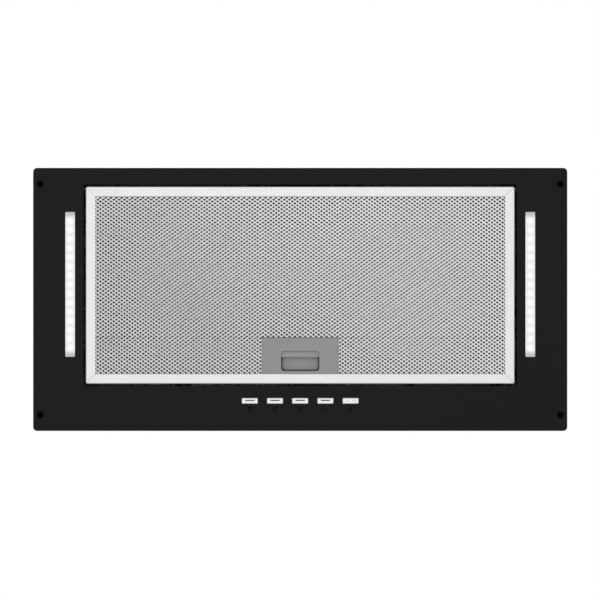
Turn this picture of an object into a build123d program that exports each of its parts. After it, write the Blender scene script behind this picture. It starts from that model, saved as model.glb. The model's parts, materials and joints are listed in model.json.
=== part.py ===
from build123d import *
from math import cos, radians, sin
import os

# A range hood insert that is screwed up into a kitchen cabinet. All lengths are in millimetres.
# The frame has +Z up. Z = 0 is the upper face of the face plate, where it meets the cabinet.
# The user stands on the -Y side. X = 0 and Y = 0 are the middle of the face plate.
# Every cutting body runs 1 mm or more past the faces that it cuts.

# ---------------------------------------------------------------- driving dimensions
# Filter, the size that the rest is set out from
filter_length = 426.0
filter_depth = 196.0
filter_thickness = 9.0
filter_inset = 0.5            # filter front face above the face plate's lower face
filter_gap = 2.0              # all round, to the window in the face plate
rail_width = 9.7
rail_wall = 1.2
rail_corner_radius = 2.0
rail_edge_radius = 1.2
channel_corner_radius = 0.4
mitre_gap = 0.2               # between two rails at each corner
mesh_edge_gap = 1.5
mesh_layer_gap = 0.05
mesh_cut_gap = 0.3            # round the latch and the pin lugs
mesh_corner_radius = 1.0

# Strips of the face plate between the filter and the housing walls
side_strip = 37.0
front_strip = 36.1
rear_strip = 7.9

# Face plate
plate_thickness = 1.5
flange_side = 15.0
flange_front = 10.5
plate_corner_radius = 4.0
plate_edge_radius = 0.6
window_corner_radius = 3.0
lip_wall = 1.2
lip_height = 12.0
fixing_inset_x = 7.0
fixing_inset_y = 16.0
fixing_hole_radius = 2.5
countersink_radius = 3.7
countersink_depth = 1.0

# Housing
housing_height = 185.0
sheet = 1.0
housing_corner_radius = 3.0
housing_foot = 10.0           # width of the flanges that are welded to the face plate
lid_rim = 12.0
bead_width = 12.0             # pressed stiffening beads
bead_depth = 1.2
bead_end = 45.0               # bead end to the wall's corner
bead_heights = (58.0, 122.0)
sheet_fit = 0.1
weld_overlap = 0.1            # two bodies that become one run this far into each other
lid_screw_inset = (60.0, 48.0)  # from the corners of the housing
screw_radius = 1.9
screw_clearance = 0.1
screw_head_radius = 3.6
screw_head_height = 2.0
screw_length = 6.0

# Duct collar and damper
duct_radius = 75.0
collar_wall = 2.0
collar_height = 48.0
collar_flange_width = 17.0
collar_flange_thickness = 3.0
collar_screw_x = 64.0
collar_screw_y = 55.0
damper_height = 26.0          # rod above the lid
damper_rod_radius = 2.0
damper_socket_radius = 4.5    # boss inside the collar that takes the rod's end
damper_socket_depth = 4.0
damper_socket_floor = 0.3
rod_end_gap = 0.2
running_clearance = 0.05
push_clearance = 0.05         # pins and shafts that are pressed or glued in
flap_thickness = 1.5
flap_clearance = 1.5
flap_stop_gap = 0.35
flap_stop = (4.0, 1.7)        # ring that the closed flaps rest on: width and height
knuckle_wall = 2.0
knuckle_length = 20.0
knuckle_gap = 1.0
front_knuckles = (-58.0, 8.0)   # where the knuckles of each flap start along the rod
rear_knuckles = (-28.0, 38.0)
collar_edge_radius = 1.0
collar_lead_in = 0.8

# Blower
wheel_radius = 58.0
wheel_width = 94.0
blade_inner_radius = 48.0
blade_count = 36
blade_thickness = 0.8
scroll_step = 12.0            # growth of the scroll per quarter turn
scroll_clearance = 5.0        # wheel to scroll at its nearest
scroll_width = 110.0
throat_height = 79.0          # wheel axis to the lid
tongue_offset = 8.0
tongue_rise = 3.0
inlet_lip = 8.0
wheel_ring = (2.0, 2.5)       # rings round the blades' ends: along the axis and across it
wheel_disc = 2.0
blade_root = 0.5              # blades end this far inside the rings
blower_rear_gap = 4.5
hang_rail_width = 18.0
hang_rail_height = 14.0
hang_rail_sheet = 1.5
hang_rail_end = 9.0           # past the last screw
rivet_radius = 1.6
rivet_head = (3.0, 1.0)       # radius and height
rivet_inset = 12.0            # from the scroll's front and from its tongue

# Motor
motor_radius = 38.0
motor_length = 52.0
motor_wall = 3.0
motor_gap = 4.0               # wheel disc to the motor's end
shaft_radius = 4.0
bush_wall = 4.0
bush_clearance = 0.03
bush_length = 8.0
bush_seat_wall = 3.0
rotor_radius = 20.0
stator_slot_radius = 4.0
stator_slots = 6
can_edge_radius = 3.0
stator_gap = 0.5
stack_length = 32.0
hub_radius = 9.0
hub_length = 16.0
bracket_sheet = 2.0
bracket_arm_width = 14.0
bracket_reach = 70.0
bracket_rim = 5.0             # round the motor's screws
bracket_screw_circle = 65.0
bracket_angles = (30, 150, 270)
motor_screw_circle = 24.0
motor_screw_angles = (90, 210, 330)

# Lamps
lamp_offset = 13.3            # window edge to the lamp's middle
lamp_shift = 0.8              # lamp's middle behind the filter's middle
lens_width = 9.3
lens_length = 143.5
lens_proud = 0.3
lens_height = 5.0
lens_gap = 0.2
lens_flange = 1.9
lens_flange_thickness = 1.2
lens_corner_radius = 0.7
lamp_pitch = 9.0
lamp_count = 15
holder_wall = 1.2
holder_height = 13.0
holder_ear = 9.0
holder_ear_width = 10.0
holder_corner_radius = 2.5
ear_corner_radius = 3.0
board_thickness = 1.2
board_corner_radius = 1.0
lamp_chip = (3.0, 2.8, 0.8)

# Push buttons
button_pitch = 25.0
button_length = 15.8
button_width = 5.5
button_proud = 1.6
button_gap = 0.25
button_corner_radius = 0.8
button_edge_radius = 0.5
button_travel = 3.0
button_row = 19.4             # housing front wall to the middle of the row
button_mark = (9.2, 1.0, 0.4)  # groove in every cap but the light's
button_mark_shift = 0.55      # towards the rear
shoulder_rim = 1.1
shoulder_thickness = 1.5
shoulder_gap = 0.3
stem_radius = 2.2
stem_length = 14.2
guide_height = 9.0
guide_thickness = 1.6
switch_case_length = 136.0
switch_case_width = 17.6
switch_case_height = 24.0
switch_case_wall = 1.4
switch_case_radius = 2.0
switch_ear = 10.0
switch_ear_width = 10.0
switch_board_gap = (2.0, 0.3, 0.2)   # to the case, along X, Y and Z
switch_body = (10.0, 8.0)
lead_port = (8.0, 7.0, 5.6)   # in both ends of the case
lead_port_drop = 5.0          # port's middle below the top of the case
button_spring_radius = 3.0
button_spring_wire = 0.3
button_spring_turns = 4

# Studs and nuts on the face plate
stud_radius = 1.5
stud_height = 6.0
nut_radius = 3.2
nut_height = 2.4
nut_clearance = 0.05

# Filter pivot
pivot_back = 2.5              # inside the rear rail's outer face
pivot_up = 4.0                # above the filter's front face
pivot_pin_radius = 1.5
pivot_lug = (5.0, 9.0)        # block inside the corner of the rail that carries the pin
pivot_lug_gap = 0.15
hook_sheet = 2.0
hook_size = 16.0
hook_slot = 6.0
pivot_pin_end = 0.5           # past the hook
pivot_pin_root = 1.0          # inside the rail's wall
hook_foot = (5.0, 3.0)

# Filter latch
latch_length = 75.5
latch_depth = 36.0
latch_face_inset = 0.4        # latch face above the filter's front face
latch_face_thickness = 1.4
latch_wall = 1.2
latch_case_height = 10.2      # latch face to the back plate
latch_plate_radius = 1.0
latch_tongue_gap = 0.3        # latch's tongues to the rail's wall
latch_window = (38.0, 20.0)
latch_window_radius = 3.2
latch_window_front = 3.1      # window edge to the rail
latch_travel = 6.5
latch_end_gap = 1.9           # slider to the case's rear wall when it is pulled back
latch_floor_thickness = 1.4
latch_floor_gap = 0.3
latch_front_gap = 0.5         # rail to the bolt's foot
latch_slide_gap = 0.3         # slider above the latch face
tray_wall = 1.2               # finger tray of the slider, behind the window
tray_draft = 1.3              # how far its sides lean in on their way to the floor
tray_floor_radius = 2.4
slider_overlap = 6.0          # slider past the window on both sides
grip_depth = 6.3
grip_slope = 1.4
grip_nose_radius = 0.5
bolt_width = 16.0
bolt_thickness = 2.4
bolt_clearance = 0.3
bolt_reach = 3.0              # past the window's lip
bolt_rise = 0.9               # bolt above the middle of the rail
bolt_foot_side = 4.0          # foot past the bolt on both sides
bolt_foot_drop = 1.2          # foot below the bolt
bolt_stake_radius = 0.9       # stakes of the slider that hold the foot
keeper_sheet = 1.5
keeper_length = 32.0
keeper_foot = 4.0
latch_spring_radius = 2.3
latch_spring_wire = 0.35
latch_spring_turns = 11
latch_spring_x = 30.0
latch_spring_gap = 0.1
latch_spring_ear = (3.0, 5.6)  # ear that carries each spring: past its middle, and height

# Parts under and on the lid
capacitor_radius = 14.0
capacitor_length = 52.0
capacitor_place = (140.0, -70.0)
capacitor_edge_radius = 1.5
capacitor_tab = (8.0, 6.0, 0.8, 5.0)  # length, width, thickness and distance from the axis
clip_sheet = 1.0
clip_width = 14.0
clip_ear = 12.0
driver_size = (42.0, 100.0, 26.0)
driver_place = (195.0, 10.0)
driver_ear = 9.0
driver_ear_thickness = 2.0
driver_ear_share = 0.6        # of the driver's width
driver_corner_radius = 2.5
driver_edge_radius = 1.5
terminal_box_size = (70.0, 75.0, 32.0)
terminal_box_inset = (46.0, 36.0)   # from the housing's left and rear walls
terminal_box_wall = 2.0
box_corner_radius = 4.0
box_lid_thickness = 2.5
box_lug_radius = 4.5          # outside the box, for the screws of its lid
box_lug_offset = 2.7          # wall's outer face to the lug's middle
box_lug_inset = 6.0           # from the box's corner along the wall
box_screw_hole_radius = 1.6
box_screw_hole_depth = 12.0
box_screw_length = 10.0
box_floor_screw_inset = (14.0, 9.0)
block_size = (40.0, 18.0, 16.0)
block_shift = (5.0, 12.0)     # from the middle of the terminal box
block_screw_radius = 2.0
block_wire_radius = 2.5
gland_plate_gap = 0.1         # round the plate that slides into the box and carries the gland
gland_window = 48.0           # opening in the box's rear wall, behind which the plate stands
gland_plate_rib = (1.5, 3.0)  # ribs that hold the plate: thickness and height
gland_height = 17.0
gland_hole_radius = 8.0
gland_bore_radius = 4.0
gland_hex_radius = 12.0
gland_hex_height = 5.0
gland_cap_radius = 10.5
gland_cap_height = 15.0
gland_thread_clearance = 0.1
gland_thread_end = 2.0        # past the nut
gland_nut_height = 4.0
gland_nut_radius = 11.0
gland_grip_count = 12         # grooves round the cap
gland_grip = (1.4, 9.0, 0.6)  # radius, length and how far its middle lies outside the cap
grommet_radius = 6.0          # hole for the lead through lid and box floor
grommet_flange = 2.0
grommet_lip = 1.5
lead_radius = 2.6
lamp_lead_radius = 1.6

# ---------------------------------------------------------------- sizes that follow from them
housing_length = filter_length + 2 * side_strip
housing_depth = filter_depth + front_strip + rear_strip
plate_length = housing_length + 2 * flange_side
plate_depth = housing_depth + 2 * flange_front
half_length = housing_length / 2
half_depth = housing_depth / 2
lid_top = housing_height
lid_under = lid_top - sheet

filter_rear = half_depth - rear_strip
filter_front = filter_rear - filter_depth
filter_y = (filter_rear + filter_front) / 2
filter_low = -plate_thickness + filter_inset
filter_high = filter_low + filter_thickness
window_length = filter_length + 2 * filter_gap
window_depth = filter_depth + 2 * filter_gap
channel_low = filter_low + rail_wall
channel_high = filter_high - rail_wall

pivot_y = filter_rear - pivot_back
pivot_z = filter_low + pivot_up

lamp_x = window_length / 2 + lamp_offset
lamp_y = filter_y + lamp_shift
lens_slot = (lens_width + 2 * lens_gap, lens_length + 2 * lens_gap)
lens_flange_size = (lens_width + 2 * lens_flange, lens_length + 2 * lens_flange)
holder_size = (lens_flange_size[0] + 2 * holder_wall + 2 * lens_gap,
               lens_flange_size[1] + 2 * holder_wall + 2 * lens_gap)
holder_stud_y = holder_size[1] / 2 + holder_ear / 2

button_y = -half_depth + button_row
button_stud_x = switch_case_length / 2 + switch_ear / 2
button_names = ("light", "low", "medium", "high", "off")

scroll_radius = wheel_radius + scroll_clearance + scroll_step / 2
scroll_rear = scroll_step / 2 + scroll_radius
scroll_front = scroll_step / 2 + scroll_radius + 2 * scroll_step
throat_middle = (scroll_front + tongue_offset) / 2
wheel_y = half_depth - sheet - blower_rear_gap - sheet - scroll_rear
wheel_z = lid_under - throat_height
collar_y = wheel_y - throat_middle
damper_z = lid_top + damper_height
collar_inner = duct_radius - collar_wall
damper_rod_reach = collar_inner - damper_socket_floor
scroll_outside = scroll_width / 2 + sheet

motor_start = motor_gap
motor_end = motor_start + motor_length
bush_radius = shaft_radius + bush_clearance + bush_wall

latch_front = filter_front + rail_width
latch_rear = latch_front + latch_depth
latch_low = filter_low + latch_face_inset
latch_high = latch_low + latch_case_height
slider_floor = latch_high - latch_floor_gap - latch_floor_thickness
window_front = latch_front + latch_window_front
window_rear = window_front + latch_window[1]
slider_rear = latch_rear - latch_wall - latch_travel - latch_end_gap
lip_front = filter_front - filter_gap - lip_wall
bolt_tip = lip_front - bolt_reach
bolt_low = (filter_low + filter_high) / 2 - bolt_thickness / 2 + bolt_rise
bolt_foot_front = latch_front + latch_front_gap
tray_front = bolt_foot_front + latch_wall
tray_low = latch_low + latch_face_thickness + latch_slide_gap

terminal_x = -half_length + terminal_box_inset[0] + terminal_box_size[0] / 2
terminal_y = half_depth - terminal_box_inset[1] - terminal_box_size[1] / 2
grommet_place = (terminal_x, terminal_y - terminal_box_size[1] / 4)
box_rear = terminal_y + terminal_box_size[1] / 2
gland_face = box_rear - terminal_box_wall - gland_plate_gap
gland_plate_inside = gland_face - terminal_box_wall
lead_port_z = switch_case_height - lead_port_drop


# ---------------------------------------------------------------- small helpers
def block(x, y, z):
    """Box between two limits along each axis."""
    middle = Pos((x[0] + x[1]) / 2, (y[0] + y[1]) / 2, (z[0] + z[1]) / 2)
    return middle * Box(x[1] - x[0], y[1] - y[0], z[1] - z[0])


def slab(size, z, radius, centre=(0, 0)):
    """Plate with rounded corners between two heights."""
    outline = Pos(centre[0], centre[1], z[0]) * RectangleRounded(*size, radius)
    return extrude(outline, z[1] - z[0])


def rod(axis, radius, ends, centre=(0, 0)):
    """Cylinder along X, Y or Z between two ends."""
    middle = (ends[0] + ends[1]) / 2
    if axis == "X":
        place = Pos(middle, *centre) * Rot(0, 90, 0)
    elif axis == "Y":
        place = Pos(centre[0], middle, centre[1]) * Rot(90, 0, 0)
    else:
        place = Pos(*centre, middle)
    return place * Cylinder(radius, abs(ends[1] - ends[0]))


def tube(axis, radii, ends, centre=(0, 0)):
    """Ring with an inner and an outer radius."""
    reach = (ends[0] - 1, ends[1] + 1)
    return rod(axis, radii[1], ends, centre) - rod(axis, radii[0], reach, centre)


def corners(x, y):
    """The four corners of a rectangle about the origin."""
    return [(i * x, j * y) for i in (-1, 1) for j in (-1, 1)]


def hexagon(radius, height):
    """Hexagonal prism standing on Z = 0, with its top edge turned down."""
    prism = extrude(RegularPolygon(radius, 6), height)
    dome = Pos(0, 0, height / 2) * Cylinder(radius * 0.97, height)
    return prism & chamfer(dome.faces().sort_by(Axis.Z)[-1].edges(), radius * 0.08)


def pan_screw(length, radius=screw_radius):
    """Screw with its head above Z = 0 and its shank below."""
    head = Pos(0, 0, screw_head_height / 2) * Cylinder(screw_head_radius, screw_head_height)
    head = fillet(head.faces().sort_by(Axis.Z)[-1].edges(), screw_head_height * 0.6)
    drive = screw_head_radius * 0.9
    for turn in (0, 90):
        head -= Pos(0, 0, screw_head_height) * Rot(0, 0, turn) * Box(drive, 0.9, 1.6)
    return head + Pos(0, 0, -length / 2) * Cylinder(radius, length)


def coil(radius, wire, length, turns):
    """Open coil spring along Z from Z = 0."""
    path = Pos(0, 0, wire) * Helix((length - 2 * wire) / turns, length - 2 * wire, radius)
    section = Plane(origin=path @ 0, z_dir=path % 0) * Circle(wire)
    return sweep(section, path=path, is_frenet=True)


def cable(points, radius):
    """Lead along straight runs joined by the largest arcs that they allow."""
    path = FilletPolyline(*points, radius=route_radii(points))
    section = Plane(origin=path @ 0, z_dir=path % 0) * Circle(radius)
    return sweep(section, path=path)


def route_radii(points):
    """One arc radius for each corner of a lead's route."""
    radii = []
    for a, b, c in zip(points, points[1:], points[2:]):
        back, ahead = Vector(*b) - Vector(*a), Vector(*c) - Vector(*b)
        half_turn = radians(back.get_angle(ahead) / 2)
        radii.append(0.45 * min(back.length, ahead.length) * cos(half_turn) / sin(half_turn))
    return radii


# ---------------------------------------------------------------- face plate
def window_slab(grow, z, radius):
    """Slab as large as the filter window, grown on every side."""
    return slab((window_length + 2 * grow, window_depth + 2 * grow), z, radius, (0, filter_y))


def bolt_slot(y):
    """Hole that the latch bolt passes through, between two Y limits."""
    side = bolt_width / 2 + 2 * bolt_clearance
    height = (bolt_low - bolt_clearance, bolt_low + bolt_thickness + bolt_clearance)
    return block((-side, side), y, height)


def lamp_studs():
    return [(s * lamp_x, lamp_y + t * holder_stud_y) for s in (-1, 1) for t in (-1, 1)]


def stud_places():
    return lamp_studs() + [(s * button_stud_x, button_y) for s in (-1, 1)]


def button_x(index):
    return (index - (len(button_names) - 1) / 2) * button_pitch


def make_face_plate():
    plate = slab((plate_length, plate_depth), (-plate_thickness, 0), plate_corner_radius)
    plate = fillet(plate.faces().sort_by(Axis.Z)[0].edges(), plate_edge_radius)
    through = (-plate_thickness - 1, lip_height + 1)
    plate += window_slab(lip_wall, (-plate_thickness / 2, lip_height), window_corner_radius + lip_wall)
    plate -= window_slab(0, through, window_corner_radius)
    plate -= bolt_slot((lip_front - 1, lip_front + lip_wall + 1))
    for side in (-1, 1):
        wall_x = side * (window_length / 2 + lip_wall / 2)
        notch = block((wall_x - lip_wall, wall_x + lip_wall),
                      (pivot_y - hook_slot / 2, pivot_y + hook_slot / 2),
                      (pivot_z - hook_slot / 2, lip_height + 1))
        plate -= notch
        plate -= slab(lens_slot, (-plate_thickness - 1, 1), lens_corner_radius + lens_gap,
                      (side * lamp_x, lamp_y))
    for index in range(len(button_names)):
        hole = (button_length + 2 * button_gap, button_width + 2 * button_gap)
        plate -= slab(hole, (-plate_thickness - 1, 1), button_corner_radius + button_gap,
                      (button_x(index), button_y))
    for x, y in corners(plate_length / 2 - fixing_inset_x, plate_depth / 2 - fixing_inset_y):
        plate -= rod("Z", fixing_hole_radius, (-plate_thickness - 1, 1), (x, y))
        sink = Cone(countersink_radius, fixing_hole_radius, countersink_depth)
        plate -= Pos(x, y, -plate_thickness + countersink_depth / 2) * sink
    for place in stud_places():
        plate += rod("Z", stud_radius, (-plate_thickness / 2, stud_height), place)
    return plate


def make_plate_nuts():
    nuts = []
    for place in stud_places():
        nut = hexagon(nut_radius, nut_height) - Cylinder(stud_radius + nut_clearance, 3 * nut_height)
        nuts.append(Pos(*place, holder_wall) * nut)
    return nuts


# ---------------------------------------------------------------- lamps
def make_lens(side):
    face = slab((lens_width, lens_length), (-plate_thickness - lens_proud, lens_height), lens_corner_radius)
    face = fillet(face.faces().sort_by(Axis.Z)[0].edges(), lens_proud)
    flange = slab(lens_flange_size, (0, lens_flange_thickness), lens_corner_radius + lens_flange)
    return Pos(side * lamp_x, lamp_y, 0) * (face + flange)


def make_lamp_boards():
    boards = []
    low = holder_height - holder_wall - board_thickness
    size = (holder_size[0] - 2 * holder_wall - 2 * lens_gap,
            holder_size[1] - 2 * holder_wall - 2 * lens_gap)
    for side in (-1, 1):
        board = slab(size, (low, low + board_thickness), board_corner_radius)
        for index in range(lamp_count):
            y = (index - (lamp_count - 1) / 2) * lamp_pitch
            board += Pos(0, y, low - lamp_chip[2] / 2) * Box(*lamp_chip)
        boards.append(Pos(side * lamp_x, lamp_y, 0) * board)
    return boards


def make_lamp_holders():
    holders = []
    inner = (holder_size[0] - 2 * holder_wall, holder_size[1] - 2 * holder_wall)
    inner_radius = holder_corner_radius - holder_wall
    for side in (-1, 1):
        case = slab(holder_size, (0, holder_height), holder_corner_radius)
        case -= slab(inner, (-1, holder_height - holder_wall), inner_radius)
        ears_size = (holder_ear_width, holder_size[1] + 2 * holder_ear)
        ears = slab(ears_size, (0, holder_wall), ear_corner_radius)
        ears -= slab(inner, (-1, holder_wall + 1), inner_radius)
        case += ears
        for end in (-1, 1):
            case -= rod("Z", stud_radius + screw_clearance, (-1, 3), (0, end * holder_stud_y))
        case -= rod("Z", lamp_lead_radius + screw_clearance, (holder_height - 3, holder_height + 1))
        holders.append(Pos(side * lamp_x, lamp_y, 0) * case)
    return holders


# ---------------------------------------------------------------- push buttons and their case
def make_button(index):
    low = -plate_thickness - button_proud
    cap = slab((button_length, button_width), (low, shoulder_gap + weld_overlap), button_corner_radius)
    cap = fillet(cap.faces().sort_by(Axis.Z)[0].edges(), button_edge_radius)
    if button_names[index] != "light":
        cap -= Pos(0, button_mark_shift, low) * Box(button_mark[0], button_mark[1], 2 * button_mark[2])
    shoulder = (button_length + 2 * shoulder_rim, button_width + 2 * shoulder_rim)
    top = shoulder_gap + shoulder_thickness
    cap += slab(shoulder, (shoulder_gap, top), button_corner_radius)
    cap += rod("Z", stem_radius, (top - weld_overlap, top + stem_length))
    return Pos(button_x(index), button_y, 0) * cap


def make_switch_housing():
    length, width = switch_case_length, switch_case_width
    case = slab((length, width), (0, switch_case_height), switch_case_radius)
    inner = (length - 2 * switch_case_wall, width - 2 * switch_case_wall)
    inner_radius = switch_case_radius / 2
    case -= slab(inner, (-1, switch_case_height - switch_case_wall), inner_radius)
    ears = slab((length + 2 * switch_ear, switch_ear_width), (0, holder_wall), ear_corner_radius)
    ears -= slab(inner, (-1, holder_wall + 1), inner_radius)
    case += ears
    guide = [side + 2 * weld_overlap for side in inner]
    case += slab(guide, (guide_height, guide_height + guide_thickness), inner_radius)
    for index in range(len(button_names)):
        case -= rod("Z", stem_radius + running_clearance, (guide_height - 1, guide_height + 4),
                    (button_x(index), 0))
    for side in (-1, 1):
        case -= rod("Z", stud_radius + screw_clearance, (-1, 3), (side * button_stud_x, 0))
        case -= Pos(side * length / 2, 0, lead_port_z) * Box(*lead_port)
    return Pos(0, button_y, 0) * case


def make_switch_board():
    length = switch_case_length - 2 * (switch_case_wall + switch_board_gap[0])
    width = switch_case_width - 2 * (switch_case_wall + switch_board_gap[1])
    high = switch_case_height - switch_case_wall - switch_board_gap[2]
    under = high - board_thickness
    board = slab((length, width), (under, high), board_corner_radius)
    stem_top = shoulder_gap + shoulder_thickness + stem_length + button_travel
    x, y = switch_body[0] / 2, switch_body[1] / 2
    for index in range(len(button_names)):
        switch = block((-x, x), (-y, y), (stem_top + shoulder_gap, under + weld_overlap))
        board += Pos(button_x(index), 0, 0) * switch
    return Pos(0, button_y, 0) * board


def make_button_springs():
    base = shoulder_gap + shoulder_thickness
    springs = []
    for index in range(len(button_names)):
        spring = coil(button_spring_radius, button_spring_wire, guide_height - base, button_spring_turns)
        springs.append(Pos(button_x(index), button_y, base) * spring)
    return springs


# ---------------------------------------------------------------- grease filter
def filter_slab(shrink, z, radius=channel_corner_radius):
    size = (filter_length - 2 * shrink, filter_depth - 2 * shrink)
    return slab(size, z, radius, (0, filter_y))


def make_filter_frame():
    ring = filter_slab(0, (filter_low, filter_high), rail_corner_radius)
    ring = fillet(ring.faces().sort_by(Axis.Z)[0].edges(), rail_edge_radius)
    ring -= filter_slab(rail_width, (filter_low - 1, filter_high + 1))
    ring -= filter_slab(rail_wall, (channel_low, channel_high))
    ring -= bolt_slot((filter_front - 1, filter_front + rail_wall + 1))
    for side in (-1, 1):
        ends = sorted((side * (filter_length / 2 - 2 * rail_wall), side * (filter_length / 2 + 1)))
        ring -= rod("X", pivot_pin_radius + push_clearance, ends, (pivot_y, pivot_z))
    a, b, m = filter_length / 2 + 1, filter_depth / 2 + 1, 2 * rail_width
    c = b - mitre_gap
    rails = []
    for sx, sy, across in ((0, -1, 0), (0, 1, 0), (-1, 0, 1), (1, 0, 1)):
        if across:
            shape = [(sx * a, -c), (sx * a, c), (sx * (a - m), c - m), (sx * (a - m), m - c)]
        else:
            shape = [(-a, sy * b), (a, sy * b), (a - m, sy * (b - m)), (m - a, sy * (b - m))]
        prism = extrude(Polygon(*shape, align=None), filter_thickness + 4, dir=(0, 0, 1))
        rails.append(ring & (Pos(0, filter_y, filter_low - 2) * prism))
    return rails


def make_mesh(layer):
    thickness = (channel_high - channel_low) / 3
    low = channel_low + layer * thickness + mesh_layer_gap
    high = channel_low + (layer + 1) * thickness - mesh_layer_gap
    shrink = rail_wall + mesh_edge_gap
    sheet_solid = filter_slab(shrink, (low, high), mesh_corner_radius)
    side = latch_length / 2 + mesh_cut_gap
    sheet_solid -= block((-side, side), (filter_front, latch_rear + mesh_cut_gap), (low - 1, high + 1))
    for s in (-1, 1):
        lug = lug_box(s, mesh_cut_gap)
        sheet_solid -= block(lug[0], lug[1], (low - 1, high + 1))
    return sheet_solid


def lug_box(side, grow):
    """X and Y limits of the pin's lug in a rear corner of the filter rails."""
    x = filter_length / 2 - rail_wall - pivot_lug_gap
    y = filter_rear - rail_wall - pivot_lug_gap
    near, far = x - pivot_lug[0] - grow, x + grow
    return sorted((side * near, side * far)), (y - pivot_lug[1] - grow, y + grow)


def make_pivot_pins():
    pins = []
    wall = filter_length / 2 - rail_wall
    tip = window_length / 2 + lip_wall + hook_sheet + pivot_pin_end
    for side in (-1, 1):
        ends = sorted((side * (wall - pivot_pin_root), side * tip))
        pin = rod("X", pivot_pin_radius, ends, (pivot_y, pivot_z))
        lug = block(*lug_box(side, 0), (channel_low + pivot_lug_gap, channel_high - pivot_lug_gap))
        pins.append(pin + lug)
    return pins


def make_filter_hooks():
    hooks = []
    inner = window_length / 2 + lip_wall
    for side in (-1, 1):
        x = sorted((side * inner, side * (inner + hook_sheet)))
        hook = block(x, (pivot_y - hook_size / 2, pivot_y + hook_size / 2), (0, lip_height))
        slot = pivot_pin_radius + running_clearance
        reach = (x[0] - 1, x[1] + 1)
        hook -= rod("X", slot, reach, (pivot_y, pivot_z))
        hook -= block(reach, (pivot_y - slot, pivot_y + slot), (pivot_z, lip_height + 1))
        foot = sorted((side * inner, side * (inner + hook_foot[0])))
        for end in (-1, 1):
            y = sorted((pivot_y + end * hook_size / 2, pivot_y + end * (hook_size / 2 - hook_foot[1])))
            hook += block(foot, y, (0, hook_sheet))
        hooks.append(hook)
    return hooks


# ---------------------------------------------------------------- filter latch
def make_latch_housing():
    side = latch_length / 2
    rail_side = latch_front + mesh_layer_gap
    body = block((-side, side), (rail_side, latch_rear), (latch_low, latch_high))
    body -= block((-side + latch_wall, side - latch_wall), (rail_side - 1, latch_rear - latch_wall),
                  (latch_low + latch_face_thickness, latch_high + 1))
    window_y = (window_front + window_rear) / 2
    body -= slab(latch_window, (latch_low - 1, latch_low + 4), latch_window_radius, (0, window_y))
    for s in (-1, 1):
        x = sorted((s * (side - latch_wall), s * side))
        tongue = (channel_low + latch_face_inset, channel_high - latch_face_inset)
        body += block(x, (filter_front + rail_wall + latch_tongue_gap, latch_front + 1), tongue)
    return body


def make_latch_back_plate():
    centre = (0, (latch_front + latch_rear) / 2)
    z = (latch_high, latch_high + latch_wall)
    return slab((latch_length, latch_depth), z, latch_plate_radius, centre)


def bolt_stakes(radius):
    """The two stakes on the slider's front that hold the bolt's foot."""
    x = (bolt_width + bolt_foot_side) / 2
    z = (bolt_low - bolt_foot_drop + slider_floor) / 2
    return [rod("Y", radius, (bolt_foot_front, tray_front), (side * x, z)) for side in (-1, 1)]


def make_latch_slider():
    top = slider_floor + latch_floor_thickness
    half = latch_window[0] / 2 + slider_overlap
    grip_front = window_rear - grip_depth
    body = block((-half, half), (bolt_foot_front, slider_rear), (slider_floor, top))
    tray_side = latch_window[0] / 2 + tray_wall
    body += block((-tray_side, tray_side), (tray_front, grip_front), (tray_low, slider_floor))
    body -= finger_tray()
    body += finger_grip(grip_front, slider_rear - latch_wall, half - tray_wall / 2, top)
    for side in (-1, 1):
        x = sorted((side * (half - tray_wall), side * (latch_spring_x + latch_spring_ear[0])))
        body += block(x, (bolt_foot_front, tray_front), (top - latch_spring_ear[1], top))
    for stake in bolt_stakes(bolt_stake_radius):
        body += stake
    return body


def finger_tray():
    """Hollow of the tray: as wide as the window at the face, and narrower at the floor."""
    middle_y = (window_front + window_rear) / 2
    mouth = Pos(0, middle_y, tray_low) * RectangleRounded(*latch_window, latch_window_radius)
    floor_size = [side - 2 * tray_draft for side in latch_window]
    floor = Pos(0, middle_y, slider_floor) * RectangleRounded(*floor_size, tray_floor_radius)
    return loft([mouth, floor], ruled=True)


def finger_grip(front, rear, half, top):
    """Ledge across the rear of the window, which the fingertip pulls to the rear."""
    low = tray_low + latch_slide_gap / 2
    side_view = Polygon((front, low), (rear, low + grip_slope), (rear, top), (front, top), align=None)
    grip = extrude(Plane.YZ * side_view, half, both=True)
    nose = grip.edges().filter_by(Axis.X).sort_by(Axis.Z)[0]
    return fillet(nose, grip_nose_radius)


def make_latch_bolt():
    """Bolt with a foot that is staked to the front of the slider."""
    side = bolt_width / 2
    high = bolt_low + bolt_thickness
    bolt = block((-side, side), (bolt_tip, tray_front), (bolt_low, high))
    tip = bolt.faces().sort_by(Axis.Y)[0].edges().filter_by(Axis.X)
    bolt = chamfer(tip, bolt_thickness * 0.3)
    foot_side = side + bolt_foot_side
    bolt += block((-foot_side, foot_side), (bolt_foot_front, tray_front),
                  (bolt_low - bolt_foot_drop, slider_floor))
    for stake in bolt_stakes(bolt_stake_radius + push_clearance):
        bolt -= stake
    return bolt


def make_latch_springs():
    start = tray_front + latch_spring_gap
    length = latch_rear - latch_wall - latch_spring_gap - start
    z = slider_floor + latch_floor_thickness - latch_spring_radius - latch_spring_wire - 2 * latch_spring_gap
    springs = []
    for side in (-1, 1):
        spring = coil(latch_spring_radius, latch_spring_wire, length, latch_spring_turns)
        springs.append(Pos(side * latch_spring_x, start, z) * Rot(-90, 0, 0) * spring)
    return springs


def make_latch_keeper():
    x = (-keeper_length / 2, keeper_length / 2)
    plate = block(x, (lip_front - keeper_sheet, lip_front), (0, lip_height - 2))
    foot = block(x, (lip_front - keeper_foot, lip_front), (0, keeper_sheet))
    return plate + foot - bolt_slot((lip_front - 2 * keeper_foot, lip_front + 1))


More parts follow.
